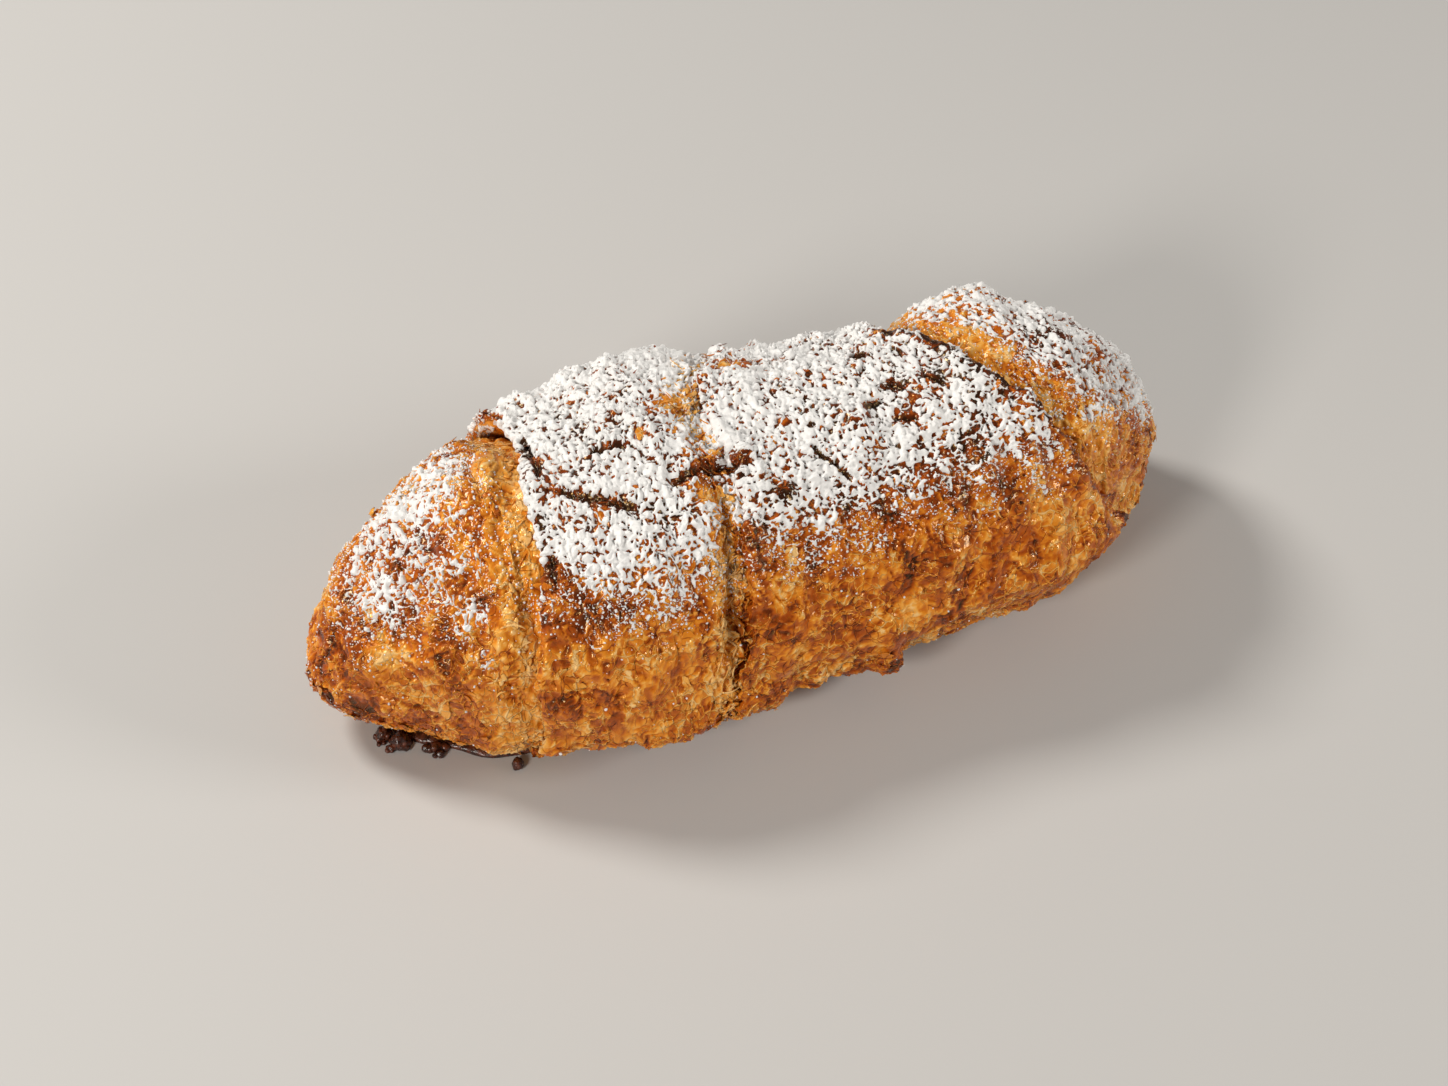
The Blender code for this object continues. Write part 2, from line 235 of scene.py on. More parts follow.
@dataclass(frozen=True)
class Roll:
    """The bare roll of dough, before the wrap is laid on it."""

    stations: Curve = Curve((
        (-70.5, 0.5, 19.5, 30.0), (-58.0, 1.5, 21.5, 35.0), (-42.0, 1.5, 26.0, 39.0),
        (-20.0, 2.0, 28.0, 41.0), (4.0, 3.2, 27.3, 40.5), (28.0, 3.2, 25.6, 41.0),
        (48.0, 4.2, 23.2, 43.5), (62.0, 6.0, 21.8, 41.5), (76.0, 9.0, 20.0, 34.0),
    ))
    tips: tuple[float, float] = (-70.5, 76.0)
    rounding: tuple[float, float] = (31.5, 34.0)
    fullness: tuple[float, float] = (1.75, 2.2)
    tip_heights: tuple[float, float] = (10.0, 15.0)
    widest_at: float = 0.38
    crown_power: float = 2.25
    belly_power: float = 3.2
    base_sink: float = 1.3
    hem_start: tuple[float, float] = (-34.0, -20.0)
    hem_end: float = 19.5
    hem_fade: float = 1.0
    hem: tuple[float, float, float] = (2.2, -18.0, 20.0)
    swells: Spots = Spots((
        (45.0, 116.0, 9.0, 26.0, 2.6), (-12.0, 122.0, 8.0, 24.0, 1.2),
        (18.0, 118.0, 13.0, 28.0, -1.7), (-29.0, 122.0, 9.0, 28.0, -2.8),
        (-26.0, 24.0, 10.0, 26.0, 1.0), (30.0, 34.0, 16.0, 26.0, 0.8),
        (14.0, -12.0, 20.0, 20.0, -2.2), (-61.0, 128.0, 9.0, 34.0, 1.6),
        (-63.0, 40.0, 8.0, 30.0, 1.0), (4.0, 80.0, 7.0, 20.0, -0.6), (17.0, -17.0, 3.0, 13.0, 1.8),
        (68.5, 1.0, 5.5, 12.0, -3.0),
    ))

    def end_size(self, x: Numbers) -> Numbers:
        """How much of the full section is left, from 1 along the roll to 0 at its tips."""
        size = np.ones_like(x)
        inwards = (1.0, -1.0)
        for tip, inward, length, power in zip(self.tips, inwards, self.rounding, self.fullness):
            missing = 1.0 - np.clip((x - tip) * inward / length, 0.0, 1.0)
            size = size * np.maximum(0.0, 1.0 - missing**power) ** (1.0 / power)
        return size

    def swell(self, x: Numbers, angle: Numbers) -> Numbers:
        """How far the dough stands out because it rose more there."""
        height, centre, spread = self.hem
        hem = height * hump(angle, centre, spread) * smooth_step(*self.hem_start, x)
        hem = hem * smooth_step(self.hem_end, self.hem_end - self.hem_fade, x)
        return hem + self.swells.read(x, angle)

    def upper_share(self, angle: Numbers) -> Numbers:
        """1 where the wrap shows and 0 under the base, where everything lies flat."""
        return smooth_step(-38.0, -8.0, angle) * smooth_step(222.0, 188.0, angle)

    def axis(self, x: Numbers) -> Points:
        """Points on the roll's own axis."""
        share = (x - self.tips[0]) / (self.tips[1] - self.tips[0])
        return np.stack([x, self.stations.read(x, 1), between(*self.tip_heights, share)], -1)

    def skin(self, x: Numbers, angle: Numbers, lift: Numbers) -> Points:
        """Finds points of the skin.

        Args:
            x: Places along the roll.
            angle: Angles round it, in degrees from -90 to 270.
            lift: Heights above the bare roll.

        Returns:
            The points, in millimetres.
        """
        lift = lift * self.upper_share(angle) + self.swell(x, angle)
        across, up = np.cos(np.radians(angle)), np.sin(np.radians(angle))
        half_width = self.stations.read(x, 2) + lift
        height = self.stations.read(x, 3)
        widest = self.widest_at * height
        y = -half_width * np.copysign(np.abs(across) ** (2.0 / self.crown_power), across)
        over, under = np.maximum(up, 0.0), np.maximum(-up, 0.0)
        crown = widest + (height + lift - widest) * over ** (2.0 / self.crown_power)
        belly = widest - (widest + self.base_sink) * under ** (2.0 / self.belly_power)
        z = np.where(up >= 0.0, crown, belly)
        axis = self.axis(x)
        size = self.end_size(x)
        return np.stack([x, axis[:, 1] + size * y, axis[:, 2] + size * (z - axis[:, 2])], -1)


@dataclass(frozen=True)
class Wrap:
    """Where the wrap's edges and its split run, and how high they stand."""

    left: Curve = Curve((
        (-90, -40.5), (0, -40.0), (25, -39.0), (52, -36.0), (80, -33.8), (108, -32.0), (135, -34.5),
        (180, -37.0),
    ))
    right: Curve = Curve((
        (-90, 55.0), (-12, 55.7), (-4.5, 56.8), (3, 61.4), (13, 56.8), (30, 52.0), (60, 46.2),
        (90, 37.0), (117, 29.5), (180, 34.0),
    ))
    split: Curve = Curve((
        (-90, -12.0), (-7, -11.5), (12, -9.2), (40, -7.8), (60, -6.4), (97, -6.2), (120, -1.0),
        (140, 3.0), (200, 0.0),
    ))
    thickness: float = 2.3
    edge_rounding: float = 0.9
    lip: tuple[float, float, float] = (2.5, 133.0, 13.0)
    tab: tuple[float, float, float] = (3.6, 3.0, 6.5)
    split_depth: tuple[float, float, float] = (2.4, 45.0, 42.0)
    split_width: tuple[float, float, float] = (3.6, 80.0, 45.0)
    split_slope: float = 2.4
    ridge_height: float = 0.4
    crown: float = 0.5
    pinch: float = 1.0
    pinch_length: float = 6.0
    raggedness: float = 0.8

    def ragged(self, angle: Numbers, seed: float) -> Numbers:
        """How far a torn edge strays along the roll."""
        ring = np.radians(angle)
        places = np.stack([np.cos(ring), np.sin(ring), np.zeros_like(ring)], -1)
        return self.raggedness * (
            smooth_noise(places, 0.15, seed) + 0.7 * smooth_noise(places, 0.04, seed + 9.0)
        )

    def left_edge(self, angle: Numbers) -> Numbers:
        """Place of the left edge."""
        return self.left.read_round(angle) + self.ragged(angle, 3.0)

    def right_edge(self, angle: Numbers) -> Numbers:
        """Place of the right edge."""
        return self.right.read_round(angle) + self.ragged(angle, 17.0)

    def split_foot(self, angle: Numbers) -> Numbers:
        """Place of the split's lowest line."""
        return self.split.read_round(angle)

    def ridge(self, angle: Numbers) -> Numbers:
        """Place of the right band's edge over the split."""
        width, centre, spread = self.split_width
        wide = width * between(0.6, 1.0, hump(angle, centre, spread))
        return self.split.read_round(angle) + wide + 1.4 * self.ragged(angle, 31.0)

    def depth(self, angle: Numbers) -> Numbers:
        """How deep the split is."""
        depth, centre, spread = self.split_depth
        return depth * between(0.45, 1.0, hump(angle, centre, spread))

    def curled(self, angle: Numbers, curl: tuple[float, float, float]) -> Numbers:
        """Height of an edge that curls up at one place."""
        return self.thickness + curl[0] * hump(angle, curl[1], curl[2])


@dataclass(frozen=True)
class ChocolateSizes:
    """The chocolate layer in the base of the left end, and the beads that ran out of it."""

    centre: tuple[float, float] = (-40.8, 2.0)
    turn: float = -30.0
    half_sizes: tuple[float, float] = (15.0, 18.5)
    height: float = 1.5
    squareness: float = 4.0
    side: float = 0.6
    top: float = 0.5
    inset: float = 1.5
    beads: tuple[Place, ...] = (
        (-61.0, -7.2, 1.3), (-58.8, -9.6, 1.6), (-53.8, -12.4, 1.0), (-42.6, -19.8, 1.0),
    )
    bead_rise: float = 0.6

    def ceiling(self, points: Points) -> Numbers:
        """Height of the pocket over the layer at many points, and 0 round it."""
        turn = math.radians(self.turn)
        along, across = points[:, 0] - self.centre[0], points[:, 1] - self.centre[1]
        u = (along * math.cos(turn) + across * math.sin(turn)) / (self.half_sizes[0] - self.inset)
        v = (across * math.cos(turn) - along * math.sin(turn)) / (self.half_sizes[1] - self.inset)
        power = self.squareness
        reach = (np.abs(u) ** power + np.abs(v) ** power) ** (1.0 / power)
        cover = np.maximum(0.0, 1.0 - reach ** (2.0 / self.side)) ** (self.top / 2.0)
        return self.height * cover


class Ease(Enum):
    """How columns are spaced on their way to a rail."""

    EVEN = "even"
    FROM_TIP = "from tip"
    TO_TIP = "to tip"


@dataclass(frozen=True)
class Rail:
    """A line round the roll that a piece's skin follows.

    Args:
        columns: Columns of faces since the rail before it.
        x: Place along the roll, one value for each row.
        lift: Height above the bare roll.
        reach: 1 on the skin and 0 on the roll's axis.
        detail: How much of the fine relief shows there.
        bake: How much browner it is there.
        crown: Extra height half-way from the rail before it.
        ease: How the columns before it are spaced.
    """

    columns: int
    x: Numbers
    lift: Numbers | float = 0.0
    reach: float = 1.0
    detail: float = 1.0
    bake: float = 0.0
    crown: float = 0.0
    ease: Ease = Ease.EVEN


@dataclass(frozen=True)
class Relief:
    """The baked skin's relief, from slow waves down to bubbles and threads.

    Each mark of the fine relief has a name, its height in millimetres and how much browner it is
    drawn;
    the darker foot, groove, crack and pit marks and the hollows between wrinkles are painted shade.
    """

    wave: tuple[float, float] = (17.0, 1.0)
    plate: tuple[float, float] = (8.0, 2.0)
    plate_stretch: tuple[float, float, float] = (1.0, 0.55, 0.55)
    sheet_size: tuple[float, float, float] = (5.0, 7.0, 7.0)
    sheets_deep: tuple[float, float, float] = (3.0, 2.6, 0.6)
    tile_size: float = 2.5
    tile_stretch: tuple[float, float, float] = (1.0, 0.72, 0.72)
    crack_size: float = 5.4
    crack_stretch: tuple[float, float, float] = (1.0, 0.8, 0.8)
    bubble_size: float = 1.25
    bubble_share: float = 0.30
    pit_share: float = 0.035
    # Foot, groove, crack and pit are drawn darker as painted shade in recesses; wrinkle and even
    # together give painted shade in the hollows between wrinkles.
    marks: tuple[tuple[str, float, float], ...] = (
        ("even", 0.0, 0.064), ("stair", 0.20, 0.0), ("rim", 0.08, -0.17), ("foot", -0.10, 0.10),
        ("sheet", 0.0, 0.17), ("wrinkle", 0.30, -0.16), ("dome", 0.20, 0.0),
        ("groove", -0.10, 0.10), ("rib", 0.18, -0.22), ("tile", 0.0, 0.20),
        ("crack", -0.35, 0.24), ("patch", 0.0, 0.12), ("bubble", 0.20, -0.10),
        ("pit", -0.50, 0.45), ("thread", 0.15, -0.14), ("curl", 0.14, -0.15),
        ("grain", 0.0, 0.06),
    )
    lumps: Spots = Spots((
        (-34.1, 53.0, 2.0, 4.0, 0.9), (-7.0, 75.5, 2.0, 3.0, 1.0), (-1.1, 73.0, 1.8, 3.0, 0.9),
        (3.6, 59.5, 1.8, 3.0, 1.0), (0.5, 66.0, 1.2, 2.5, 0.8), (28.6, 107.5, 2.0, 3.0, 0.8),
        (25.4, 72.5, 1.6, 2.0, 0.4), (31.9, 82.0, 1.4, 2.0, 0.4), (5.5, 135.0, 4.0, 10.0, -1.3),
        (27.5, 135.0, 4.0, 10.0, -0.6),
    ))
    slits: Slits = Slits()
    layers: Layers = Layers()

    def broad(self, points: Points) -> Numbers:
        """The relief that the solid has too: slow waves, and plates with raised edges."""
        wave = smooth_noise(points, self.wave[0]) * self.wave[1]
        stretched = points * np.array(self.plate_stretch) / self.plate[0]
        bent = stretched + 0.35 * drift(stretched, 1.0 / 1.7)
        cells = Cells.at(bent, 1.0)
        plate = (cells.second - cells.nearest - 0.4) * self.plate[1]
        return (wave + plate) * smooth_step(0.3, 4.0, points[:, 2])

    def sheets(self, bent: Points) -> dict[str, Numbers]:
        """Thin sheets of dough, with steps and rims at their edges, and wrinkles."""
        middle, broad, narrow = self.sheets_deep
        level = middle + broad * smooth_noise(bent, self.sheet_size, 11.0)
        level = level + narrow * smooth_noise(bent, 1.9, 23.0)
        sheet = np.floor(level)
        part = level - sheet
        return {
            "stair": sheet - middle + smooth_step(0.0, 0.16, part),
            "rim": hump(part, 0.22, 0.09),
            # foot: painted shadow at the foot of each step
            "foot": hump(part, 0.0, 0.05) + hump(part, 1.0, 0.07),
            "sheet": np.abs(np.sin(sheet * 12.9)) - 0.64,
            # wrinkle: with the even mark, painted shade in the hollows between wrinkles
            "wrinkle": hump(smooth_noise(bent, (1.7, 2.6, 2.6), 61.0), 0.0, 0.17),
        }

    def tiles(self, points: Points, bent: Points) -> dict[str, Numbers]:
        """Small tiles with grooves or raised ribs between them, and the larger cracks."""
        tiles = Cells.at(bent * np.array(self.tile_stretch), self.tile_size, 7.0)
        gap = tiles.second - tiles.nearest
        tiled = smooth_step(-0.22, 0.16, smooth_noise(points, 5.5, 51.0))
        raised = smooth_step(-0.12, 0.12, smooth_noise(points, 7.0, 53.0))
        sunk = tiled * (1.0 - raised)
        cracks = Cells.at(bent * np.array(self.crack_stretch), self.crack_size, 41.0)
        torn = smooth_step(0.05, 0.30, smooth_noise(points, 6.0, 52.0))
        return {
            "dome": sunk * smooth_step(0.0, 0.5, gap),
            # groove: painted shade in the grooves
            "groove": sunk * (1.0 - smooth_step(0.0, 0.10, gap)),
            "rib": tiled * raised * hump(gap, 0.0, 0.09),
            "tile": tiled * (tiles.mark - 0.5),
            # crack: painted shade in the cracks
            "crack": torn * hump(cracks.second - cracks.nearest, 0.0, 0.028),
            "patch": cracks.mark - 0.5,
        }

    def bubbles(self, points: Points) -> dict[str, Numbers]:
        """Small bubbles, and pits where one burst."""
        cells = Cells.at(points + 0.3 * drift(points, 1.1, 2.0), self.bubble_size, 9.0)
        bubble = np.sqrt(np.maximum(0.0, 1.0 - (cells.nearest / 0.40) ** 2))
        pit = np.maximum(0.0, 1.0 - (cells.nearest / 0.22) ** 2)
        return {
            "bubble": (cells.mark < self.bubble_share) * bubble,
            # pit: painted shade in the burst pits
            "pit": (cells.mark > 1.0 - self.pit_share) * pit,
        }

    def threads(self, points: Points, bent: Points) -> dict[str, Numbers]:
        """Raised threads and curls, and the finest unevenness of the colour."""
        thread = np.maximum(0.0, 1.0 - np.abs(smooth_noise(bent, (0.9, 3.4, 3.4), 71.0)) / 0.10)
        curl = np.maximum(0.0, 1.0 - np.abs(smooth_noise(bent, 1.5, 75.0)) / 0.075)
        return {
            "thread": thread * smooth_step(-0.15, 0.15, smooth_noise(points, 4.0, 72.0)),
            "curl": curl * smooth_step(0.0, 0.22, smooth_noise(points, 4.5, 76.0)),
            "grain": smooth_noise(points, 0.9, 82.0),
        }

    def fine(self, points: Points) -> tuple[Numbers, Numbers]:
        """Adds up the marks of the fine relief.

        Args:
            points: Places on the skin.

        Returns:
            The relief in millimetres, and how much darker or lighter it is drawn there, partly
            painted shade in its recesses.
        """
        bent = points + 1.3 * drift(points, 3.0, 5.0) + 0.35 * drift(points, 0.9, 6.0)
        found = {"even": np.ones(len(points))} | self.sheets(bent) | self.tiles(points, bent)
        found = found | self.bubbles(points) | self.threads(points, bent)
        height = sum(up * found[name] for name, up, _ in self.marks)
        shade = sum(browner * found[name] for name, _, browner in self.marks)
        return height, shade


@dataclass
class Skin:
    """The baked skin at a piece's vertices."""

    points: Points
    normals: Points
    x: Numbers
    angle: Numbers
    detail: Numbers
    brown: Numbers

    @staticmethod
    def joined(skins: Sequence["Skin"]) -> "Skin":
        """All vertices of several pieces as one skin."""
        names = ("points", "normals", "x", "angle", "detail", "brown")
        return Skin(*(np.concatenate([getattr(skin, name) for skin in skins]) for name in names))


@dataclass(frozen=True)
class Lattice:
    """A piece's skin as a table of rings and rows, which is read between its vertices too."""

    table: np.ndarray

    @staticmethod
    def of(skin: Skin, ring: Numbers, row: Numbers) -> "Lattice":
        """Sorts a skin's vertices, but for the poles, into rings and rows."""
        rings, rows = int(ring.max()), int(row.max()) + 1
        values = np.column_stack([skin.points, skin.normals, skin.x, skin.angle, skin.detail])
        table = np.zeros((rings + 1, rows, values.shape[1]))
        table[ring.astype(int), row.astype(int)] = values
        return Lattice(table[1:-1])

    def crop(self, keep: Callable[[Skin], Numbers]) -> "Lattice":
        """The smallest part of the table that holds every vertex to be kept."""
        rings, rows = self.table.shape[:2]
        kept = keep(self.skin(self.table.reshape(rings * rows, -1))).reshape(rings, rows)
        along, around = np.flatnonzero(kept.any(axis=1)), np.flatnonzero(kept.any(axis=0))
        return Lattice(self.table[along[0] : along[-1] + 1, around[0] : around[-1] + 1])

    @staticmethod
    def skin(values: np.ndarray) -> Skin:
        """Rows of values as a skin."""
        x, angle, detail = values[:, 6:9].T
        return Skin(values[:, :3], values[:, 3:6], x, angle, detail, np.zeros(len(values)))

    def read(self, along: Numbers, around: Numbers) -> Skin:
        """Reads the skin at shares from 0 to 1 of the table's rings and rows."""
        rings, rows = self.table.shape[:2]
        ring, row = along * (rings - 1), around * (rows - 1)
        low_ring = np.minimum(ring.astype(int), rings - 2)
        low_row = np.minimum(row.astype(int), rows - 2)
        part, share = (ring - low_ring)[:, None], (row - low_row)[:, None]
        near, far = (
            between(self.table[here, low_row], self.table[here, low_row + 1], share)
            for here in (low_ring, low_ring + 1)
        )
        return self.skin(between(near, far, part))


@dataclass(frozen=True)
class RowSpacing:
    """How rows are shared out round the roll: close over the top and front, wide under the base."""

    closeness: tuple[tuple[float, float], ...] = (
        (-90.0, 0.22), (-62.0, 0.28), (-54.0, 0.70), (-26.0, 1.0), (132.0, 1.0), (166.0, 0.50),
        (238.0, 0.42), (250.0, 0.25), (270.0, 0.22),
    )

    def angle_of(self, turn: Numbers) -> Numbers:
        """The angle round the roll of a row, from its even turn of -pi to pi."""
        table = np.array(self.closeness)
        angles = np.linspace(-90.0, 270.0, 1441)
        weight = np.interp(angles, table[:, 0], table[:, 1])
        share = np.concatenate([[0.0], np.cumsum((weight[1:] + weight[:-1]) / 2)])
        return np.interp((turn + math.pi) / math.tau, share / share[-1], angles)


@dataclass
class PastryPiece:
    """One closed piece of the pastry, a stack of rings round the roll between two poles."""

    name: str
    roll: Roll
    relief: Relief
    rows: int
    rails_at: Callable[[Numbers], tuple[Rail, ...]]
    brown_at: Callable[[Numbers, Numbers, Points], Numbers]
    open_tips: tuple[bool, bool] = (False, False)
    spacing: RowSpacing = RowSpacing()
    chocolate: ChocolateSizes = ChocolateSizes()
    # Painted shade from the relief: raised places are drawn paler, hollows darker.
    relief_shade: float = 0.10
    # Slits are drawn darker, painted shade; ledges are drawn paler, their own tone.
    slit_shade_and_ledge_tone: float = 0.24

    @property
    def columns(self) -> int:
        """Columns of faces from pole to pole."""
        return sum(rail.columns for rail in self.rails_at(np.array([90.0])))

    def locate(self, ring: Numbers, angle: Numbers) -> tuple[Numbers, Points, Numbers, Numbers]:
        """Finds places of the smooth skin.

        Args:
            ring: Rings counted from the left pole, whole or not.
            angle: Angles round the roll.

        Returns:
            The places along the roll, the points, how much fine relief shows, and how much
            browner it is there.
        """
        rails = self.rails_at(angle)
        values = [np.zeros_like(angle)] * 5
        passed = 0
        for before, rail in zip(rails, rails[1:]):
            here = (ring >= passed) if before is rails[0] else (ring > passed)
            share = np.clip((ring - passed) / rail.columns, 0.0, 1.0)
            eased = share
            if rail.ease is Ease.FROM_TIP:
                eased = 1.0 - np.cos(share * math.pi / 2)
            elif rail.ease is Ease.TO_TIP:
                eased = np.sin(share * math.pi / 2)
            here_values = (
                between(before.x, rail.x, eased),
                between(before.lift, rail.lift, share) + rail.crown * np.sin(share * math.pi),
                between(before.reach, rail.reach, share),
                between(before.detail, rail.detail, share),
                between(before.bake, rail.bake, share),
            )
            values = [np.where(here, new, old) for new, old in zip(here_values, values)]
            passed += rail.columns
        x, lift, reach, detail, bake = values
        points = self.roll.skin(x, angle, lift)
        axis = self.roll.axis(x)
        return x, between(axis, points, reach[:, None]), detail, bake

    def normals(self, ring: Numbers, angle: Numbers) -> Points:
        """Outward directions of the smooth skin."""
        step_ring, step_angle = 0.6, 0.5
        low, high = np.maximum(ring - step_ring, 0.0), np.minimum(ring + step_ring, self.columns)
        along = self.locate(high, angle)[1] - self.locate(low, angle)[1]
        up, down = angle + step_angle, angle - step_angle
        up = np.where(up > 270.0, up - 360.0, up)
        down = np.where(down < -90.0, down + 360.0, down)
        around = self.locate(ring, up)[1] - self.locate(ring, down)[1]
        return unit(np.cross(along, around))

    def surface(self, ring: Numbers, angle: Numbers) -> Skin:
        """Works out the baked skin at many places.

        Args:
            ring: Rings counted from the left pole, whole or not.
            angle: Angles round the roll.

        Returns:
            The skin there.
        """
        x, smooth, detail, bake = self.locate(ring, angle)
        normals = self.normals(ring, angle)
        height, shade = self.relief.fine(smooth)
        slit = self.relief.slits.read(x, angle)
        height = height * smooth_step(0.0, 2.0, smooth[:, 2]) + self.relief.lumps.read(x, angle)
        ledge = self.relief.layers.read(x, angle, smooth)
        height = height - self.relief.slits.depth * slit + self.relief.layers.height * ledge
        total = self.relief.broad(smooth) + height
        points = smooth + normals * (detail * total)[:, None]
        points[:, 2] = np.maximum(points[:, 2], self.chocolate.ceiling(points))
        brown = self.brown_at(x, angle, smooth) + bake + shade * detail
        # Painted shade by height: raised places paler, hollows darker.
        brown = brown - self.relief_shade * np.clip(height, -0.6, 0.6)
        # Painted shade in the slits; the ledges paler.
        brown = brown + self.slit_shade_and_ledge_tone * (slit - ledge)
        return Skin(points, normals, x, angle, detail, brown)

    def rings_and_rows(self) -> tuple[bmesh.types.BMesh, Numbers, Numbers]:
        """Makes the closed shape: a grid joined round the roll, with a fan of faces at each pole.

        Returns:
            The shape, and the ring and row of each of its vertices.
        """
        rings = self.columns
        shape = bmesh.new()
        bmesh.ops.create_grid(shape, x_segments=rings - 2, y_segments=self.rows, size=0.5)

        def seam(side: int) -> list[bmesh.types.BMVert]:
            """The vertices along one long side of the grid, in order."""
            found = (vert for vert in shape.verts if vert.co.y * side > 0.49999)
            return sorted(found, key=lambda vert: vert.co.x)

        bmesh.ops.weld_verts(shape, targetmap=dict(zip(seam(1), seam(-1))))
        rims = [edge for edge in shape.edges if edge.is_boundary]
        caps = bmesh.ops.holes_fill(shape, edges=rims, sides=0)["faces"]
        poles = bmesh.ops.poke(shape, faces=caps)["verts"]
        shape.verts.index_update()
        spots = places_of(shape.verts) + 0.5
        ring = np.round(spots[:, 0] * (rings - 2)) + 1
        row = np.round(spots[:, 1] * self.rows) % self.rows
        for pole in poles:
            ring[pole.index] = 0 if pole.co.x < 0.0 else rings
        return shape, ring, row

    def build(self, dust_at: Cover) -> tuple[bpy.types.Object, Skin, Lattice]:
        """Builds the piece's mesh, with its browning and dusting as attributes.

        Args:
            dust_at: Gives how thickly fine specks of sugar lie at a place, from 0 to 1.

        Returns:
            The new object, its skin in the order of its vertices, and the same skin as a table.
        """
        rings = self.columns
        shape, ring, row = self.rings_and_rows()
        angle = self.spacing.angle_of(math.tau * row / self.rows - math.pi)
        skin = self.surface(ring, angle)
        for is_open, pole, beside in zip(self.open_tips, (0, rings), (1, rings - 1)):
            if is_open:
                skin.points[ring == pole] = skin.points[ring == beside].mean(axis=0)
        move_vertices(shape.verts, skin.points)
        bmesh.ops.recalc_face_normals(shape, faces=shape.faces)
        made = finished(self.name, shape)
        put_attribute(made, "brown", skin.brown)
        put_attribute(made, "dust", dust_at(skin.x, skin.angle))
        return made, skin, Lattice.of(skin, ring, row)


def places_of(verts: Iterable[bmesh.types.BMVert]) -> Points:
    """The vertices' own coordinates as a table."""
    return np.array([vert.co for vert in verts], float)


def move_vertices(verts: Iterable[bmesh.types.BMVert], points: Points) -> None:
    """Moves vertices to points given in millimetres before the frame's shift."""
    for vert, point in zip(verts, ((points + FRAME_SHIFT) * MM).tolist()):
        vert.co = point


def put_attribute(made: bpy.types.Object, name: str, values: Numbers) -> None:
    """Stores one number for each vertex under a name."""
    layer = made.data.attributes.new(name, "FLOAT", "POINT")
    layer.data.foreach_set("value", np.asarray(values, np.float32))


def linked(name: str, data: bpy.types.ID) -> bpy.types.Object:
    """Makes an object of a mesh, lamp or camera and links it to the scene."""
    made = bpy.data.objects.new(name, data)
    bpy.context.scene.collection.objects.link(made)
    return made


def finished(name: str, shape: bmesh.types.BMesh) -> bpy.types.Object:
    """Makes an object of a shape, shaded smooth, and links it to the scene."""
    mesh = bpy.data.meshes.new(name)
    shape.to_mesh(mesh)
    shape.free()
    mesh.shade_smooth()
    return linked(name, mesh)


@dataclass(frozen=True)
class Tones:
    """How brown each region of the pastry is, from 0 for pale to 1 for almost black."""

    left_end: Spots = Spots((
        (-66.0, 70.0, 6.0, 50.0, 0.20), (-53.0, 78.0, 8.0, 26.0, 0.26),
        (-57.5, 56.5, 3.0, 8.0, 0.22), (-51.0, 30.5, 2.5, 8.0, 0.18), (-48.2, 79.0, 2.0, 5.0, 0.24),
        (-55.3, 83.0, 2.0, 5.0, 0.24), (-47.8, 61.0, 1.6, 4.0, 0.22),
        (-60.0, 37.0, 3.0, 8.0, -0.30), (-65.7, -4.0, 5.0, 16.0, 0.26),
        (-52.6, 4.5, 1.2, 3.5, -0.25), (-55.0, -10.0, 12.0, 14.0, 0.18),
    ))
    right_end: Spots = Spots((
        (58.0, 100.0, 14.0, 26.0, 0.54), (68.0, 40.0, 6.0, 22.0, 0.16),
        (60.0, 60.0, 6.0, 12.0, 0.12), (50.0, 84.0, 3.5, 10.0, 0.16), (57.0, 66.0, 5.0, 12.0, 0.14),
        (66.0, 12.0, 4.0, 8.0, 0.14),
    ))
    bands: Spots = Spots((
        (20.8, 23.5, 3.2, 7.0, 0.26), (29.5, 12.5, 2.6, 6.0, 0.20), (18.5, 43.0, 1.3, 5.0, 0.24),
        (-3.1, 44.0, 1.8, 9.0, 0.34), (-3.0, 24.0, 1.4, 12.0, 0.22), (-7.3, 5.0, 1.6, 8.0, 0.20),
        (13.7, 51.0, 4.0, 4.0, 0.15), (40.0, 44.0, 7.0, 8.0, 0.12), (-28.0, 36.0, 9.0, 6.0, 0.10),
        (-15.0, 31.0, 4.0, 8.0, 0.06), (3.6, 59.5, 2.2, 3.4, 0.30), (-7.5, 97.0, 3.4, 6.0, -0.48),
        (-3.8, 102.0, 3.0, 4.0, -0.42), (4.5, 112.0, 3.0, 5.0, -0.60),
        (-15.1, 88.0, 0.9, 1.3, -0.62), (-8.7, 60.0, 1.6, 6.0, -0.22),
        (-7.7, 36.0, 1.6, 10.0, -0.12), (50.0, 14.0, 5.0, 8.0, -0.12),
        (-16.5, 22.0, 1.5, 4.0, -0.16), (2.2, 37.0, 1.4, 3.0, -0.20),
        (-28.0, -12.0, 11.0, 9.0, -0.08), (17.7, -10.0, 1.8, 7.0, 0.34),
        (60.8, 3.5, 1.3, 4.5, 0.42),
    ))
    # Browning round the roll; the darker values low on the front and under the base are partly
    # painted shade.
    front: Curve = Curve((
        (-90, 0.64), (-45, 0.63), (-20, 0.57), (0, 0.51), (20, 0.50), (36, 0.56), (48, 0.66),
        (60, 0.82), (90, 0.90), (128, 0.86), (150, 0.62), (178, 0.50), (205, 0.46), (235, 0.48),
        (270, 0.60),
    ))

    blotches: tuple[tuple[float, float | Place, float], ...] = (
        (0.15, 8.5, 3.3), (0.12, 3.4, 4.4), (0.10, 1.7, 5.5), (0.18, (2.4, 11.0, 11.0), 6.6),
    )

    def mottled(self, points: Points) -> Numbers:
        """Blotches of stronger and weaker browning."""
        return sum(share * smooth_noise(points, size, seed) for share, size, seed in self.blotches)


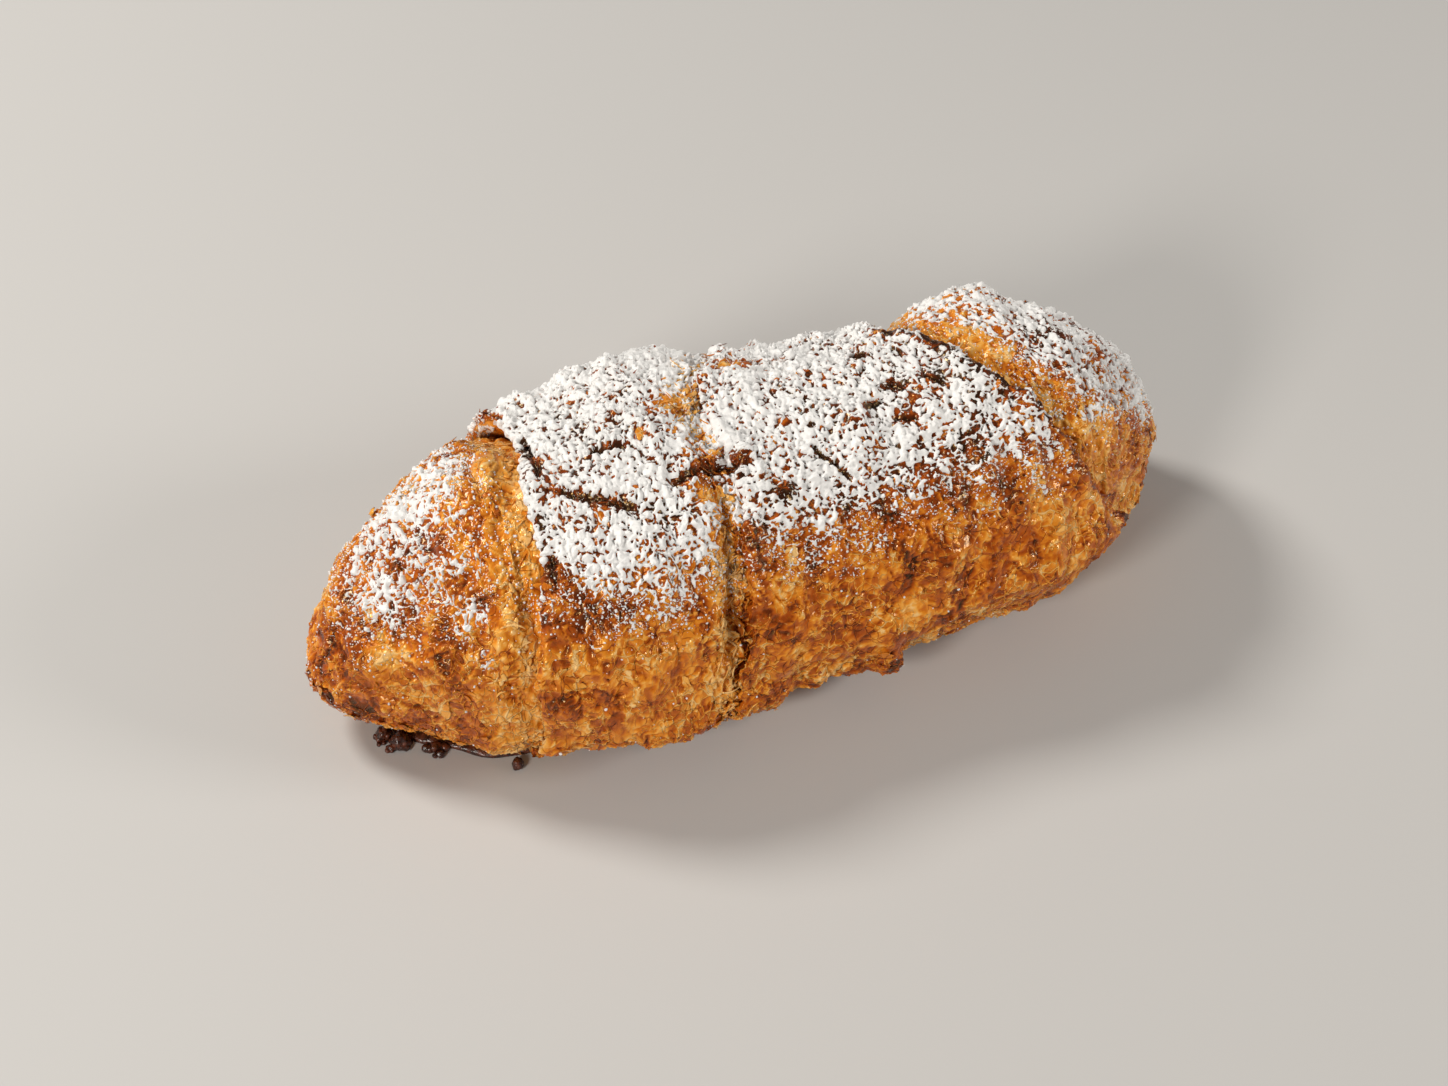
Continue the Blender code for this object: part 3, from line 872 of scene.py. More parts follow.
@dataclass
class Pastry:
    """The whole pastry: both ends of the roll and both bands of the wrap."""

    roll: Roll = field(default_factory=Roll)
    wrap: Wrap = field(default_factory=Wrap)
    relief: Relief = field(default_factory=Relief)
    tones: Tones = field(default_factory=Tones)
    rows: int = 520
    spacing: float = 0.28

    def across(self, length: float) -> int:
        """How many columns a stretch of this length takes."""
        return max(3, round(length / self.spacing * COARSE))

    def piece(self, name: str, **choices: Any) -> PastryPiece:
        """A piece of this pastry."""
        return PastryPiece(name, self.roll, self.relief, round(self.rows * COARSE), **choices)

    def left_end(self) -> PastryPiece:
        """The roll's left end, from its tip to under the wrap."""

        def rails_at(angle: Numbers) -> tuple[Rail, ...]:
            """The piece's rails at many angles."""
            edge = self.wrap.left.read_round(angle)
            tip = np.full_like(angle, self.roll.tips[0])
            pinch = -self.wrap.pinch
            return (
                Rail(0, tip),
                Rail(self.across(38.0), edge - self.wrap.pinch_length, ease=Ease.FROM_TIP),
                Rail(self.across(9.0), edge + 3.0, pinch),
                Rail(2, edge + 6.0, pinch, reach=0.93, detail=0.0),
                Rail(2, edge + 7.0, reach=0.0, detail=0.0),
            )

        def brown_at(x: Numbers, angle: Numbers, points: Points) -> Numbers:
            """How brown the left end is, paler beside the wrap."""
            near = smooth_step(-10.0, -3.0, x - self.wrap.left.read_round(angle))
            base = 0.46 + self.tones.left_end.read(x, angle)
            mottled = self.tones.mottled(points) * between(1.0, 0.6, near)
            return between(base, 0.26, 0.8 * near) + mottled

        tips = (True, False)
        return self.piece("roll_left_end", open_tips=tips, rails_at=rails_at, brown_at=brown_at)

    def right_end(self) -> PastryPiece:
        """The roll's right end, from under the wrap to its tip."""

        def rails_at(angle: Numbers) -> tuple[Rail, ...]:
            """The piece's rails at many angles."""
            edge = self.wrap.right.read_round(angle)
            tip = np.full_like(angle, self.roll.tips[1])
            pinch = -self.wrap.pinch
            return (
                Rail(0, edge - 7.0, reach=0.0, detail=0.0),
                Rail(2, edge - 6.0, pinch, reach=0.93, detail=0.0),
                Rail(2, edge - 3.0, pinch),
                Rail(self.across(9.0), edge + self.wrap.pinch_length),
                Rail(self.across(36.0), tip, ease=Ease.TO_TIP),
            )

        def brown_at(x: Numbers, angle: Numbers, points: Points) -> Numbers:
            """How brown the right end is, paler beside the wrap but for painted shadow in a line
            under its edge.
            """
            near = smooth_step(12.0, 4.0, x - self.wrap.right.read_round(angle))
            base = 0.42 + self.tones.right_end.read(x, angle)
            # Painted shadow in a line just under the wrap's right edge.
            edge_shadow = hump(x - self.wrap.right_edge(angle), 0.6, 1.0)
            edge_shadow = edge_shadow * smooth_step(62.0, 45.0, angle)
            base = base + 0.35 * edge_shadow * smooth_step(-25.0, -10.0, angle)
            near = near * (1.0 - edge_shadow)
            mottled = self.tones.mottled(points) * between(1.0, 0.7, near)
            return between(base, 0.32, 0.8 * near) + mottled

        tips = (False, True)
        return self.piece("roll_right_end", open_tips=tips, rails_at=rails_at, brown_at=brown_at)

    def band_brown(self, x: Numbers, angle: Numbers, points: Points) -> Numbers:
        """How brown the wrap is, with painted shadow in part of the lines along its right edge."""
        past_left, past_right = x - self.wrap.left_edge(angle), x - self.wrap.right_edge(angle)
        inside = smooth_step(-5.5, -2.8, x - self.wrap.split_foot(angle))
        inside = inside * smooth_step(0.6, -1.0, x - self.wrap.ridge(angle))
        inside = inside * (1.0 - 0.9 * hump(angle, 72.0, 7.0))
        low = smooth_step(38.0, 22.0, angle)
        base = self.tones.front.read(angle) + self.tones.bands.read(x, angle)
        base = between(base, 0.24, 0.9 * inside * smooth_step(-25.0, 5.0, angle))
        # A darker line along the right edge, partly its own browning and partly painted shadow
        # under the edge.
        base = base + 0.22 * smooth_step(-1.8, -0.4, past_right) * smooth_step(20.0, 45.0, angle)
        base = base + 0.20 * smooth_step(1.0, 0.2, past_left) * smooth_step(0.0, 30.0, angle)
        base = base - 0.16 * hump(past_right, -1.6, 0.8) * low * smooth_step(-12.0, 6.0, angle)
        # A darker line at the right edge low on the front, partly painted shadow.
        base = base + 0.22 * smooth_step(-0.7, -0.2, past_right) * low
        return base + self.tones.mottled(points) * between(1.0, 0.5, smooth_step(0.8, 1.0, base))

    def left_band(self) -> PastryPiece:
        """The wrap's left band, with the split's floor."""
        wrap = self.wrap

        def rails_at(angle: Numbers) -> tuple[Rail, ...]:
            """The piece's rails at many angles."""
            edge, split, ridge = wrap.left_edge(angle), wrap.split_foot(angle), wrap.ridge(angle)
            lip, depth = wrap.curled(angle, wrap.lip), wrap.depth(angle)
            gap = 0.35 + 0.75 * (lip - wrap.thickness)
            return (
                Rail(0, edge + 10.0, reach=0.0, detail=0.0),
                Rail(2, edge + 8.0, -0.4, reach=0.93, detail=0.0),
                Rail(self.across(3.5), edge + 1.2, gap, detail=0.6, bake=-0.45),
                Rail(self.across(1.0), edge, between(gap, lip, 0.3), detail=0.7, bake=-0.35),
                Rail(self.across(1.0), edge - 0.1, between(gap, lip, 0.75), detail=0.8, bake=-0.15),
                Rail(self.across(1.2), edge + wrap.edge_rounding, lip),
                Rail(self.across(27.0), split - wrap.split_slope, wrap.thickness, crown=wrap.crown),
                Rail(self.across(3.2), split, wrap.thickness - depth, detail=1.5),
                Rail(self.across(3.6), ridge, wrap.thickness - 0.9 * depth, detail=1.5),
                Rail(self.across(1.2), ridge + 3.0, wrap.thickness - 1.2 * depth),
                Rail(2, ridge + 5.0, 0.0, reach=0.93, detail=0.0),
                Rail(2, ridge + 6.0, reach=0.0, detail=0.0),
            )

        return self.piece("wrap_left_band", rails_at=rails_at, brown_at=self.band_brown)

    def right_band(self) -> PastryPiece:
        """The wrap's right band, whose left edge stands over the split."""
        wrap = self.wrap

        def rails_at(angle: Numbers) -> tuple[Rail, ...]:
            """The piece's rails at many angles."""
            edge, ridge = wrap.right_edge(angle), wrap.ridge(angle)
            tab, depth = wrap.curled(angle, wrap.tab), wrap.depth(angle)
            floor = wrap.thickness - 0.9 * depth
            gap = 0.35 + 0.75 * (tab - wrap.thickness)
            top = wrap.thickness + wrap.ridge_height
            return (
                Rail(0, ridge + 11.0, reach=0.0, detail=0.0),
                Rail(2, ridge + 9.0, -0.4, reach=0.93, detail=0.0),
                Rail(self.across(2.5), ridge + 1.0, floor + 0.25, detail=0.25),
                Rail(self.across(0.8), ridge, between(floor, top, 0.45), detail=0.6),
                Rail(self.across(0.8), ridge + 0.2, between(floor, top, 0.85), detail=0.8),
                Rail(self.across(1.2), ridge + 1.2, top, detail=1.2),
                Rail(self.across(41.0), edge - wrap.edge_rounding, tab, crown=wrap.crown),
                Rail(self.across(1.2), edge + 0.1, between(gap, tab, 0.75), detail=0.7),
                Rail(self.across(1.0), edge, between(gap, tab, 0.3), detail=0.5, bake=-0.15),
                Rail(self.across(1.0), edge - 1.2, gap, detail=0.25, bake=-0.30),
                Rail(self.across(2.5), edge - 8.0, -0.4, reach=0.93, detail=0.0),
                Rail(2, edge - 10.0, reach=0.0, detail=0.0),
            )

        return self.piece("wrap_right_band", rails_at=rails_at, brown_at=self.band_brown)


@dataclass(frozen=True)
class Dusting:
    """Which share of each place powdered sugar covers."""

    front_limit: Curve = Curve((
        (-45.0, 54.0), (-34.0, 50.0), (-28.0, 44.0), (-18.0, 39.0), (-10.0, 43.0), (-4.0, 47.0),
        (3.5, 44.0), (12.0, 45.0), (18.0, 48.0), (24.0, 50.0), (35.0, 47.0), (44.0, 44.0),
        (60.0, 48.0),
    ))
    front_fade: tuple[Place, Place] = ((-22.0, -9.0, 0.0, 10.0), (0.0, 0.12, 0.44, 0.84))
    back_limit: float = 148.0
    left_patches: Spots = Spots((
        (-55.5, 104.0, 7.0, 22.0, 0.66), (-47.0, 100.0, 5.0, 20.0, 0.54),
        (-44.0, 120.0, 5.0, 16.0, 0.34), (-56.5, 70.0, 4.6, 11.0, 0.72),
        (-48.5, 70.0, 4.5, 9.0, 0.60), (-46.5, 47.0, 3.0, 7.0, 0.60), (-46.2, 28.0, 1.6, 4.0, 0.40),
        (-53.0, 52.0, 3.5, 6.0, 0.25), (-48.2, 79.0, 1.5, 4.0, -0.60),
        (-55.3, 83.0, 1.5, 4.0, -0.60), (-47.8, 61.0, 1.2, 3.0, -0.50),
    ))
    bare: Spots = Spots((
        (-7.0, 75.5, 1.6, 2.0, 0.7), (-1.1, 73.0, 1.6, 2.2, 0.7), (3.6, 59.5, 1.8, 2.4, 0.9),
        (-3.4, 47.0, 1.4, 6.0, 0.8), (-34.1, 53.0, 2.0, 3.6, 0.9), (-26.7, 93.5, 1.2, 1.6, 0.6),
        (-15.1, 88.0, 0.9, 1.3, 0.9), (-7.5, 97.0, 3.4, 5.0, 0.75), (-3.8, 102.0, 2.6, 4.0, 0.60),
        (4.5, 112.0, 3.6, 4.5, 0.75), (28.6, 107.5, 2.0, 2.6, 0.9), (23.7, 99.5, 1.5, 2.0, 0.7),
        (26.2, 84.5, 1.5, 2.0, 0.7), (31.9, 82.0, 1.6, 2.2, 0.7), (25.4, 72.5, 1.9, 1.8, 0.7),
        (21.4, 80.0, 1.5, 1.8, 0.6), (35.3, 94.0, 1.4, 6.0, 0.6), (43.0, 62.0, 1.6, 9.0, 0.5),
        (39.1, 42.5, 5.0, 5.0, 0.25), (32.1, 52.5, 4.0, 4.0, 0.25), (30.0, 82.0, 9.0, 14.0, 0.22),
        (-34.3, 134.0, 2.0, 9.0, 0.95), (-9.0, 64.0, 2.2, 9.0, 0.35),
    ))

    right_end_clear: tuple[tuple[float, float], ...] = (
        (25.0, 70.0), (40.0, 65.5), (47.5, 56.0), (68.0, 50.5), (89.0, 45.5), (105.0, 37.0),
        (125.0, 35.0),
    )
    bare_right: Spots = Spots((
        (35.4, 133.5, 1.8, 3.0, 0.50), (37.5, 127.0, 1.8, 3.0, 0.40), (52.0, 118.0, 2.4, 6.0, 0.34),
        (46.0, 128.0, 2.2, 5.0, 0.30), (55.0, 88.0, 2.2, 6.0, 0.30), (62.0, 98.0, 2.6, 7.0, 0.22),
        (66.0, 118.0, 3.0, 7.0, 0.22), (61.0, 74.0, 2.4, 5.0, 0.22),
    ))
    wrap: Wrap = Wrap()
    slits: Slits = Slits()

    def on_band(self, x: Numbers, angle: Numbers) -> Numbers:
        """Share of the wrap that sugar covers."""
        front = np.interp(angle - self.front_limit.read(x), *self.front_fade)
        back = smooth_step(22.0, -16.0, angle - self.back_limit)
        past_split = x - self.wrap.split_foot(angle)
        split = hump(past_split, -0.6, 2.2) * smooth_step(92.0, 76.0, angle)
        rim = smooth_step(-2.2, -0.5, x - self.wrap.right_edge(angle))
        open_places = self.bare.read(x, angle) + 1.2 * self.slits.read(x, angle)
        return front * back - open_places - 0.55 * split - 0.5 * rim

    @staticmethod
    def specks(cover_at: Cover) -> Cover:
        """The fine specks that go with a cover: most where it thins out, and some below it."""

        def dust_at(x: Numbers, angle: Numbers) -> Numbers:
            """How thickly specks lie at a place, from 0 to 0.5."""
            here, above = cover_at(x, angle) - 0.10, cover_at(x, angle + 13.0) - 0.14
            return np.clip(np.maximum(here, 0.45 * above), 0.0, 0.5) * smooth_step(0.60, 0.30, here)

        return dust_at

    def on_left_end(self, x: Numbers, angle: Numbers) -> Numbers:
        """Share of the left end that sugar covers."""
        return np.minimum(0.72, self.left_patches.read(x, angle)) * smooth_step(150.0, 128.0, angle)

    def on_right_end(self, x: Numbers, angle: Numbers) -> Numbers:
        """Share of the right end that sugar covers."""
        table = np.array(self.right_end_clear)
        clear = smooth_step(-3.5, 4.5, x - np.interp(angle, table[:, 0], table[:, 1]))
        front = smooth_step(34.0, 66.0, angle + 0.35 * (x - 60.0))
        back = smooth_step(160.0, 138.0, angle)
        cover = 0.62 * clear * front * back * smooth_step(77.0, 71.0, x)
        return cover - self.bare_right.read(x, angle)


def operator(operation: str, reflected: bool = False) -> Callable[["Wire", Any], "Wire"]:
    """One arithmetic operator of a wire, with the other value first where it is reflected."""

    def apply(wire: "Wire", other: Any) -> "Wire":
        """Adds a Math node for the two values."""
        values = (other, wire) if reflected else (wire, other)
        return wire.graph.node("ShaderNodeMath", {"operation": operation}, dict(enumerate(values)))

    return apply


class Wire:
    """A shader socket that takes part in sums written as ordinary expressions."""

    def __init__(self, graph: "Graph", socket: bpy.types.NodeSocket) -> None:
        """Wraps an output socket of a graph."""
        self.graph = graph
        self.socket = socket

    __add__, __radd__ = operator("ADD"), operator("ADD", reflected=True)
    __sub__, __rsub__ = operator("SUBTRACT"), operator("SUBTRACT", reflected=True)
    __mul__, __rmul__ = operator("MULTIPLY"), operator("MULTIPLY", reflected=True)


class Graph:
    """A material's node tree, with one method that adds any node."""

    def __init__(self, name: str) -> None:
        """Starts a material with a Principled shader."""
        self.material = bpy.data.materials.new(name)
        self.material.use_nodes = True
        self.tree = self.material.node_tree
        self.shader = self.tree.nodes["Principled BSDF"]

    def plug(self, socket: bpy.types.NodeSocket, value: Any) -> None:
        """Links a wire to a socket, or sets the socket's own value."""
        if isinstance(value, Wire):
            self.tree.links.new(value.socket, socket)
        else:
            socket.default_value = value

    def node(
        self,
        kind: str,
        settings: dict[str, Any] | None = None,
        inputs: dict[str | int, Any] | None = None,
        output: str | int = 0,
    ) -> Wire:
        """Adds a node.

        Args:
            kind: The node's type.
            settings: Its own settings, set first. A ramp's stops are given as stops.
            inputs: Values or wires for its sockets, by name or number.
            output: The output to read.

        Returns:
            The chosen output.
        """
        made = self.tree.nodes.new(kind)
        for name, value in (settings or {}).items():
            if name == "stops":
                self._set_stops(made.color_ramp, value)
            else:
                setattr(made, name, value)
        for name, value in (inputs or {}).items():
            self.plug(made.inputs[name], value)
        return Wire(self, made.outputs[output])

    @staticmethod
    def _set_stops(ramp: bpy.types.ColorRamp, stops: Sequence[tuple[float, Place]]) -> None:
        """Gives a ramp its stops."""
        while len(ramp.elements) < len(stops):
            ramp.elements.new(1.0)
        for element, (place, colour) in zip(ramp.elements, stops):
            element.position = place
            element.color = (*colour, 1.0)

    def dress(self, **inputs: Any) -> bpy.types.Material:
        """Sets the shader's sockets, with spaces for underscores, and returns the material."""
        for name, value in inputs.items():
            self.plug(self.shader.inputs[name.replace("_", " ")], value)
        return self.material

    def attribute(self, name: str) -> Wire:
        """Reads one of the mesh's own numbers."""
        return self.node("ShaderNodeAttribute", {"attribute_name": name}, output="Fac")

    def place(self, stretch: Place = (1.0, 1.0, 1.0)) -> Wire:
        """Object coordinates in millimetres, stretched along the axes."""
        spot = self.node("ShaderNodeTexCoord", output="Object")
        scale = tuple(value / MM for value in stretch)
        inputs = {"Vector": spot, "Scale": scale}
        return self.node("ShaderNodeMapping", {"vector_type": "POINT"}, inputs)

    def speckle(self, size: float, detail: float = 2.0, stretch: Place = (1.0, 1.0, 1.0)) -> Wire:
        """Soft noise from 0 to 1 with a pattern of this size in millimetres."""
        inputs = {"Vector": self.place(stretch), "Scale": 1.0 / size, "Detail": detail}
        return self.node("ShaderNodeTexNoise", {}, inputs | {"Roughness": 0.55})

    def rise(self, value: Wire, low: float, high: float) -> Wire:
        """0 up to low, 1 from high and an even rise between."""
        inputs = {"Value": value, "From Min": low, "From Max": high, "To Min": 0.0, "To Max": 1.0}
        settings = {"interpolation_type": "SMOOTHSTEP"}
        return self.node("ShaderNodeMapRange", settings, inputs, "Result")

    def blend(self, share: Any, first: Any, second: Any) -> Wire:
        """Mixes two colours."""
        return self.node("ShaderNodeMix", {"data_type": "RGBA"}, {0: share, 6: first, 7: second}, 2)

    def lines(self, size: float, width: float, stretch: Place = (1.0, 1.0, 1.0)) -> Wire:
        """Thin winding lines, 1 on a line and 0 beside it."""
        drawn = self.speckle(size, 1.0, stretch) - 0.5
        away = self.node("ShaderNodeMath", {"operation": "ABSOLUTE"}, {0: drawn})
        return 1.0 - self.rise(away, 0.0, width)

    def bent(self, size: float, bend: float) -> Wire:
        """Object coordinates in millimetres, bent by noise a little wider than this size."""
        inputs = {"Vector": self.place(), "Scale": 0.8 / size, "Detail": 1.0}
        drawn = self.node("ShaderNodeTexNoise", {}, inputs, "Color")
        inputs = {0: drawn, 1: (bend * size,) * 3, 2: self.place()}
        return self.node("ShaderNodeVectorMath", {"operation": "MULTIPLY_ADD"}, inputs)

    def cell_edges(self, spot: Wire, size: float, width: float) -> Wire:
        """The outlines of cells of this size in millimetres, 1 on an outline and 0 inside."""
        inputs = {"Vector": spot, "Scale": 1.0 / size}
        settings = {"feature": "DISTANCE_TO_EDGE"}
        edge = self.node("ShaderNodeTexVoronoi", settings, inputs, "Distance")
        return 1.0 - self.rise(edge, 0.0, width)

    def cell_tones(self, spot: Wire, size: float) -> Wire:
        """One random value from 0 to 1 for each of the same cells."""
        inputs = {"Vector": spot, "Scale": 1.0 / size}
        drawn = self.node("ShaderNodeTexVoronoi", {"feature": "F1"}, inputs, "Color")
        return self.node("ShaderNodeSeparateColor", {}, {"Color": drawn}, "Red")

    def bump(self, height: Wire, distance: float, strength: float = 1.0) -> Wire:
        """A normal from a height, with the distance in millimetres."""
        inputs = {"Height": height, "Distance": distance * MM, "Strength": strength}
        return self.node("ShaderNodeBump", {}, inputs, "Normal")


@dataclass(frozen=True)
class CrustFinish:
    """Baked, egg-washed crust, from pale layers to almost black."""

    tones: tuple[tuple[float, Place], ...] = (
        (0.00, (0.90, 0.56, 0.22)),
        (0.14, (0.86, 0.40, 0.070)),
        (0.30, (0.74, 0.245, 0.018)),
        (0.46, (0.54, 0.130, 0.008)),
        (0.60, (0.36, 0.062, 0.005)),
        (0.76, (0.15, 0.022, 0.003)),
        (1.00, (0.030, 0.008, 0.004)),
    )
    sugar: Place = (0.83, 0.80, 0.77, 1.0)

    def make(self) -> bpy.types.Material:
        """Makes the material. It reads the attributes brown, which holds painted shade too, and
        dust.
        """
        graph = Graph("baked_crust")
        brown, dust = graph.attribute("brown"), graph.attribute("dust")
        fine = graph.speckle(0.8, 3.0)
        streak = graph.speckle(0.5, 2.0, (1.0, 0.18, 0.18))
        grain = graph.speckle(0.22, 1.0)
        patch, zone = graph.speckle(6.0, 1.0), graph.speckle(4.5, 1.0, (1.0, 1.0, 1.3))
        spot, tiled = graph.bent(1.9, 1.1), graph.rise(patch, 0.42, 0.54)
        outlines = graph.cell_edges(spot, 1.9, 0.095) * tiled
        cracks = graph.cell_edges(graph.bent(3.1, 1.6), 3.1, 0.035) * graph.rise(zone, 0.50, 0.60)
        threads = graph.lines(1.6, 0.016, (1.0, 0.6, 0.6)) * graph.rise(zone, 0.56, 0.46)
        tone = brown + (fine - 0.5) * 0.14 + (streak - 0.5) * 0.10 + (grain - 0.5) * 0.05
        # The cracks are drawn darker, painted shade in them.
        tone = tone - 0.28 * outlines + 0.20 * cracks - 0.26 * threads
        tone = tone + (graph.cell_tones(spot, 1.9) - 0.5) * 0.20 * tiled
        colour = graph.node("ShaderNodeValToRGB", {"stops": self.tones}, {"Fac": tone}, "Color")
        specks = graph.speckle(0.34, 1.0)
        white = graph.rise(specks + dust * 0.32, 0.77, 0.83)
        colour = graph.blend(white * 0.9, colour, self.sugar)
        rough = 0.13 + 0.16 * graph.rise(fine, 0.35, 0.7) + 0.5 * white
        height = fine * 0.45 + streak * 0.3 + grain * 0.1 + white * 0.5
        height = height + 0.8 * outlines - 0.6 * cracks + 0.8 * threads
        return graph.dress(
            Base_Color=colour,
            Roughness=rough,
            Normal=graph.bump(height, 0.20),
            Specular_IOR_Level=0.60,
            Specular_Tint=(1.0, 0.62, 0.20, 1.0),
            Coat_Weight=0.18,
            Coat_Roughness=0.05,
        )


@dataclass(frozen=True)
class SugarFinish:
    """Matte powdered sugar, a little creamy where it is thin."""

    white: Place = (0.88, 0.87, 0.86, 1.0)
    thin: Place = (0.80, 0.72, 0.65, 1.0)

    def make(self) -> bpy.types.Material:
        """Makes the material. It reads the attribute thick, from 0 to 1."""
        graph = Graph("powdered_sugar")
        grain = graph.speckle(0.16, 2.0)
        lumps = graph.speckle(0.5, 2.0)
        cover = graph.rise(graph.attribute("thick") + (grain - 0.5) * 0.5, 0.02, 0.45)
        return graph.dress(
            Base_Color=graph.blend(cover, self.thin, self.white),
            Roughness=0.92,
            Normal=graph.bump(grain * 0.5 + lumps, 0.14),
            Specular_IOR_Level=0.25,
        )


@dataclass(frozen=True)
class ChocolateFinish:
    """Set dark chocolate with a satin gloss."""

    dark: Place = (0.034, 0.008, 0.004, 1.0)
    light: Place = (0.15, 0.036, 0.014, 1.0)

    def make(self) -> bpy.types.Material:
        """Makes the material."""
        graph = Graph("dark_chocolate")
        cloud = graph.speckle(1.2, 3.0)
        grain = graph.speckle(0.3, 2.0)
        return graph.dress(
            Base_Color=graph.blend(graph.rise(cloud, 0.4, 0.7), self.dark, self.light),
            Roughness=0.12 + 0.24 * cloud,
            Normal=graph.bump(cloud + grain * 0.4, 0.2),
            Coat_Weight=0.35,
            Coat_Roughness=0.15,
        )


@dataclass(frozen=True)
class FloorFinish:
    """A plain pale studio floor."""

    colour: Place = (0.56, 0.55, 0.54, 1.0)

    def make(self) -> bpy.types.Material:
        """Makes the material."""
        return Graph("pale_floor").dress(Base_Color=self.colour, Roughness=0.7)


@dataclass(frozen=True)
class SugarCoat:
    """Powdered sugar that lies on a piece in lumps and strands, with holes between them."""

    spacing: float = 0.19
    lump_size: float = 1.5
    fine_size: float = 0.66
    strand_size: float = 1.3
    hole_size: float = 0.95
    hole: tuple[float, float] = (0.34, 0.28)
    thinnest: float = 0.12
    body: float = 0.26
    dome: float = 0.34
    sunk: float = 0.45
    wall: float = 0.16
    shown_at: float = 0.45
    most: float = 0.89
    uneven: float = 0.08
    least: float = 0.07

    def lumps(self, points: Points) -> tuple[Numbers, Numbers, Numbers]:
        """The lumps and strands that the sugar falls into.

        Args:
            points: Places on the skin.

        Returns:
            The pattern, highest where sugar stays longest, the domes of its lumps from 0 to 1, and
            how far back each lump lies.
        """
        bent = points + 0.6 * drift(points, 1.6, 13.0)
        cells = Cells.at(bent * np.array([1.0, 0.8, 0.8]), self.lump_size, 21.0)
        dome = smooth_step(0.0, 0.55, cells.second - cells.nearest)
        fine = 0.30 * smooth_noise(bent, self.fine_size, 22.0)
        strands = 0.26 - 2.0 * np.abs(smooth_noise(bent, self.strand_size, 25.0))
        pattern = np.maximum(0.34 * dome - 0.18 + fine, strands)
        pattern = pattern + 0.20 * smooth_noise(points, 4.2, 24.0)
        return pattern, dome, cells.centres[:, 1]

    def holes(self, points: Points) -> Numbers:
        """1 in the small round holes between the lumps."""
        cells = Cells.at(points + 0.3 * drift(points, 1.0, 14.0), self.hole_size, 26.0)
        return (cells.mark < self.hole[0]) * (cells.nearest < self.hole[1])

    def grid(self, lattice: Lattice) -> tuple[bmesh.types.BMesh, Skin]:
        """Lays a fine grid over part of a piece's skin.

        Args:
            lattice: The part of the skin.

        Returns:
            The grid, not yet moved, and the skin at its vertices.
        """
        table = lattice.table
        sides = (
            np.linalg.norm(np.diff(table[:, :, :3], axis=axis), axis=2).sum(axis=axis).mean()
            for axis in (0, 1)
        )
        columns, rows = (round(side / self.spacing * COARSE) for side in sides)
        shape = bmesh.new()
        bmesh.ops.create_grid(shape, x_segments=columns, y_segments=rows, size=0.5)
        spots = places_of(shape.verts) + 0.5
        return shape, lattice.read(spots[:, 0], spots[:, 1])

    def build(
        self, name: str, lattice: Lattice, cover_at: Cover, endings: tuple[str, ...] = ("",)
    ) -> list[bpy.types.Object]:
        """Builds the sugar on one piece.

        Args:
            name: The new objects' name.
            lattice: The piece's skin.
            cover_at: Gives the share of a place that sugar covers.
            endings: What is added to the name of each part, from the front to the back. Two parts
                meet between lumps.

        Returns:
            The new objects.
        """

        def dusted(skin: Skin) -> Numbers:
            """Whether each vertex can have sugar."""
            return (cover_at(skin.x, skin.angle) > 0.02) & (skin.detail > self.shown_at)

        shape, skin = self.grid(lattice.crop(dusted))
        cover = np.clip(cover_at(skin.x, skin.angle), 0.0, self.most)
        pattern, dome, back = self.lumps(skin.points)
        shares = np.linspace(0.0, 1.0, 101)
        level = pattern - np.interp(1.0 - cover, shares, np.quantile(pattern, shares))
        level = np.where(dusted(skin) & (self.holes(skin.points) < 0.5), level, -1.0)
        body = self.thinnest + self.body * (1.0 - np.exp(-4.0 * np.maximum(level, 0.0)))
        body = body + self.dome * dome * smooth_step(0.0, 0.25, level)
        body = body + self.uneven * smooth_noise(skin.points, 0.6, 37.0)
        rise = np.where(level > 0.0, np.maximum(body, self.least), -self.sunk)
        move_vertices(shape.verts, skin.points + skin.normals * rise[:, None])
        thick = shape.verts.layers.float.new("thick")
        for vert, value in zip(shape.verts, np.clip(rise * 2.2, 0.0, 1.0).tolist()):
            vert[thick] = value
        covered = rise > 0.0
        limits = np.quantile(back[covered], np.linspace(0.0, 1.0, len(endings) + 1)[1:-1])
        part_of, covered = np.searchsorted(limits, back).tolist(), covered.tolist()
        made = []
        for number, ending in enumerate(endings):
            part = shape.copy()
            gone = []
            for face in part.faces:
                corners = [vert.index for vert in face.verts]
                if part_of[corners[0]] != number or not any(covered[corner] for corner in corners):
                    gone.append(face)
            bmesh.ops.delete(part, geom=gone, context="FACES")
            made.append(self.walled(name + ending, part))
        shape.free()
        return made

    def walled(self, name: str, shape: bmesh.types.BMesh) -> bpy.types.Object:
        """Makes an object of a sheet of sugar, with a wall that closes it."""
        made = finished(name, shape)
        solid = made.modifiers.new("wall", "SOLIDIFY")
        solid.thickness = self.wall * MM
        solid.offset = -1.0
        return made


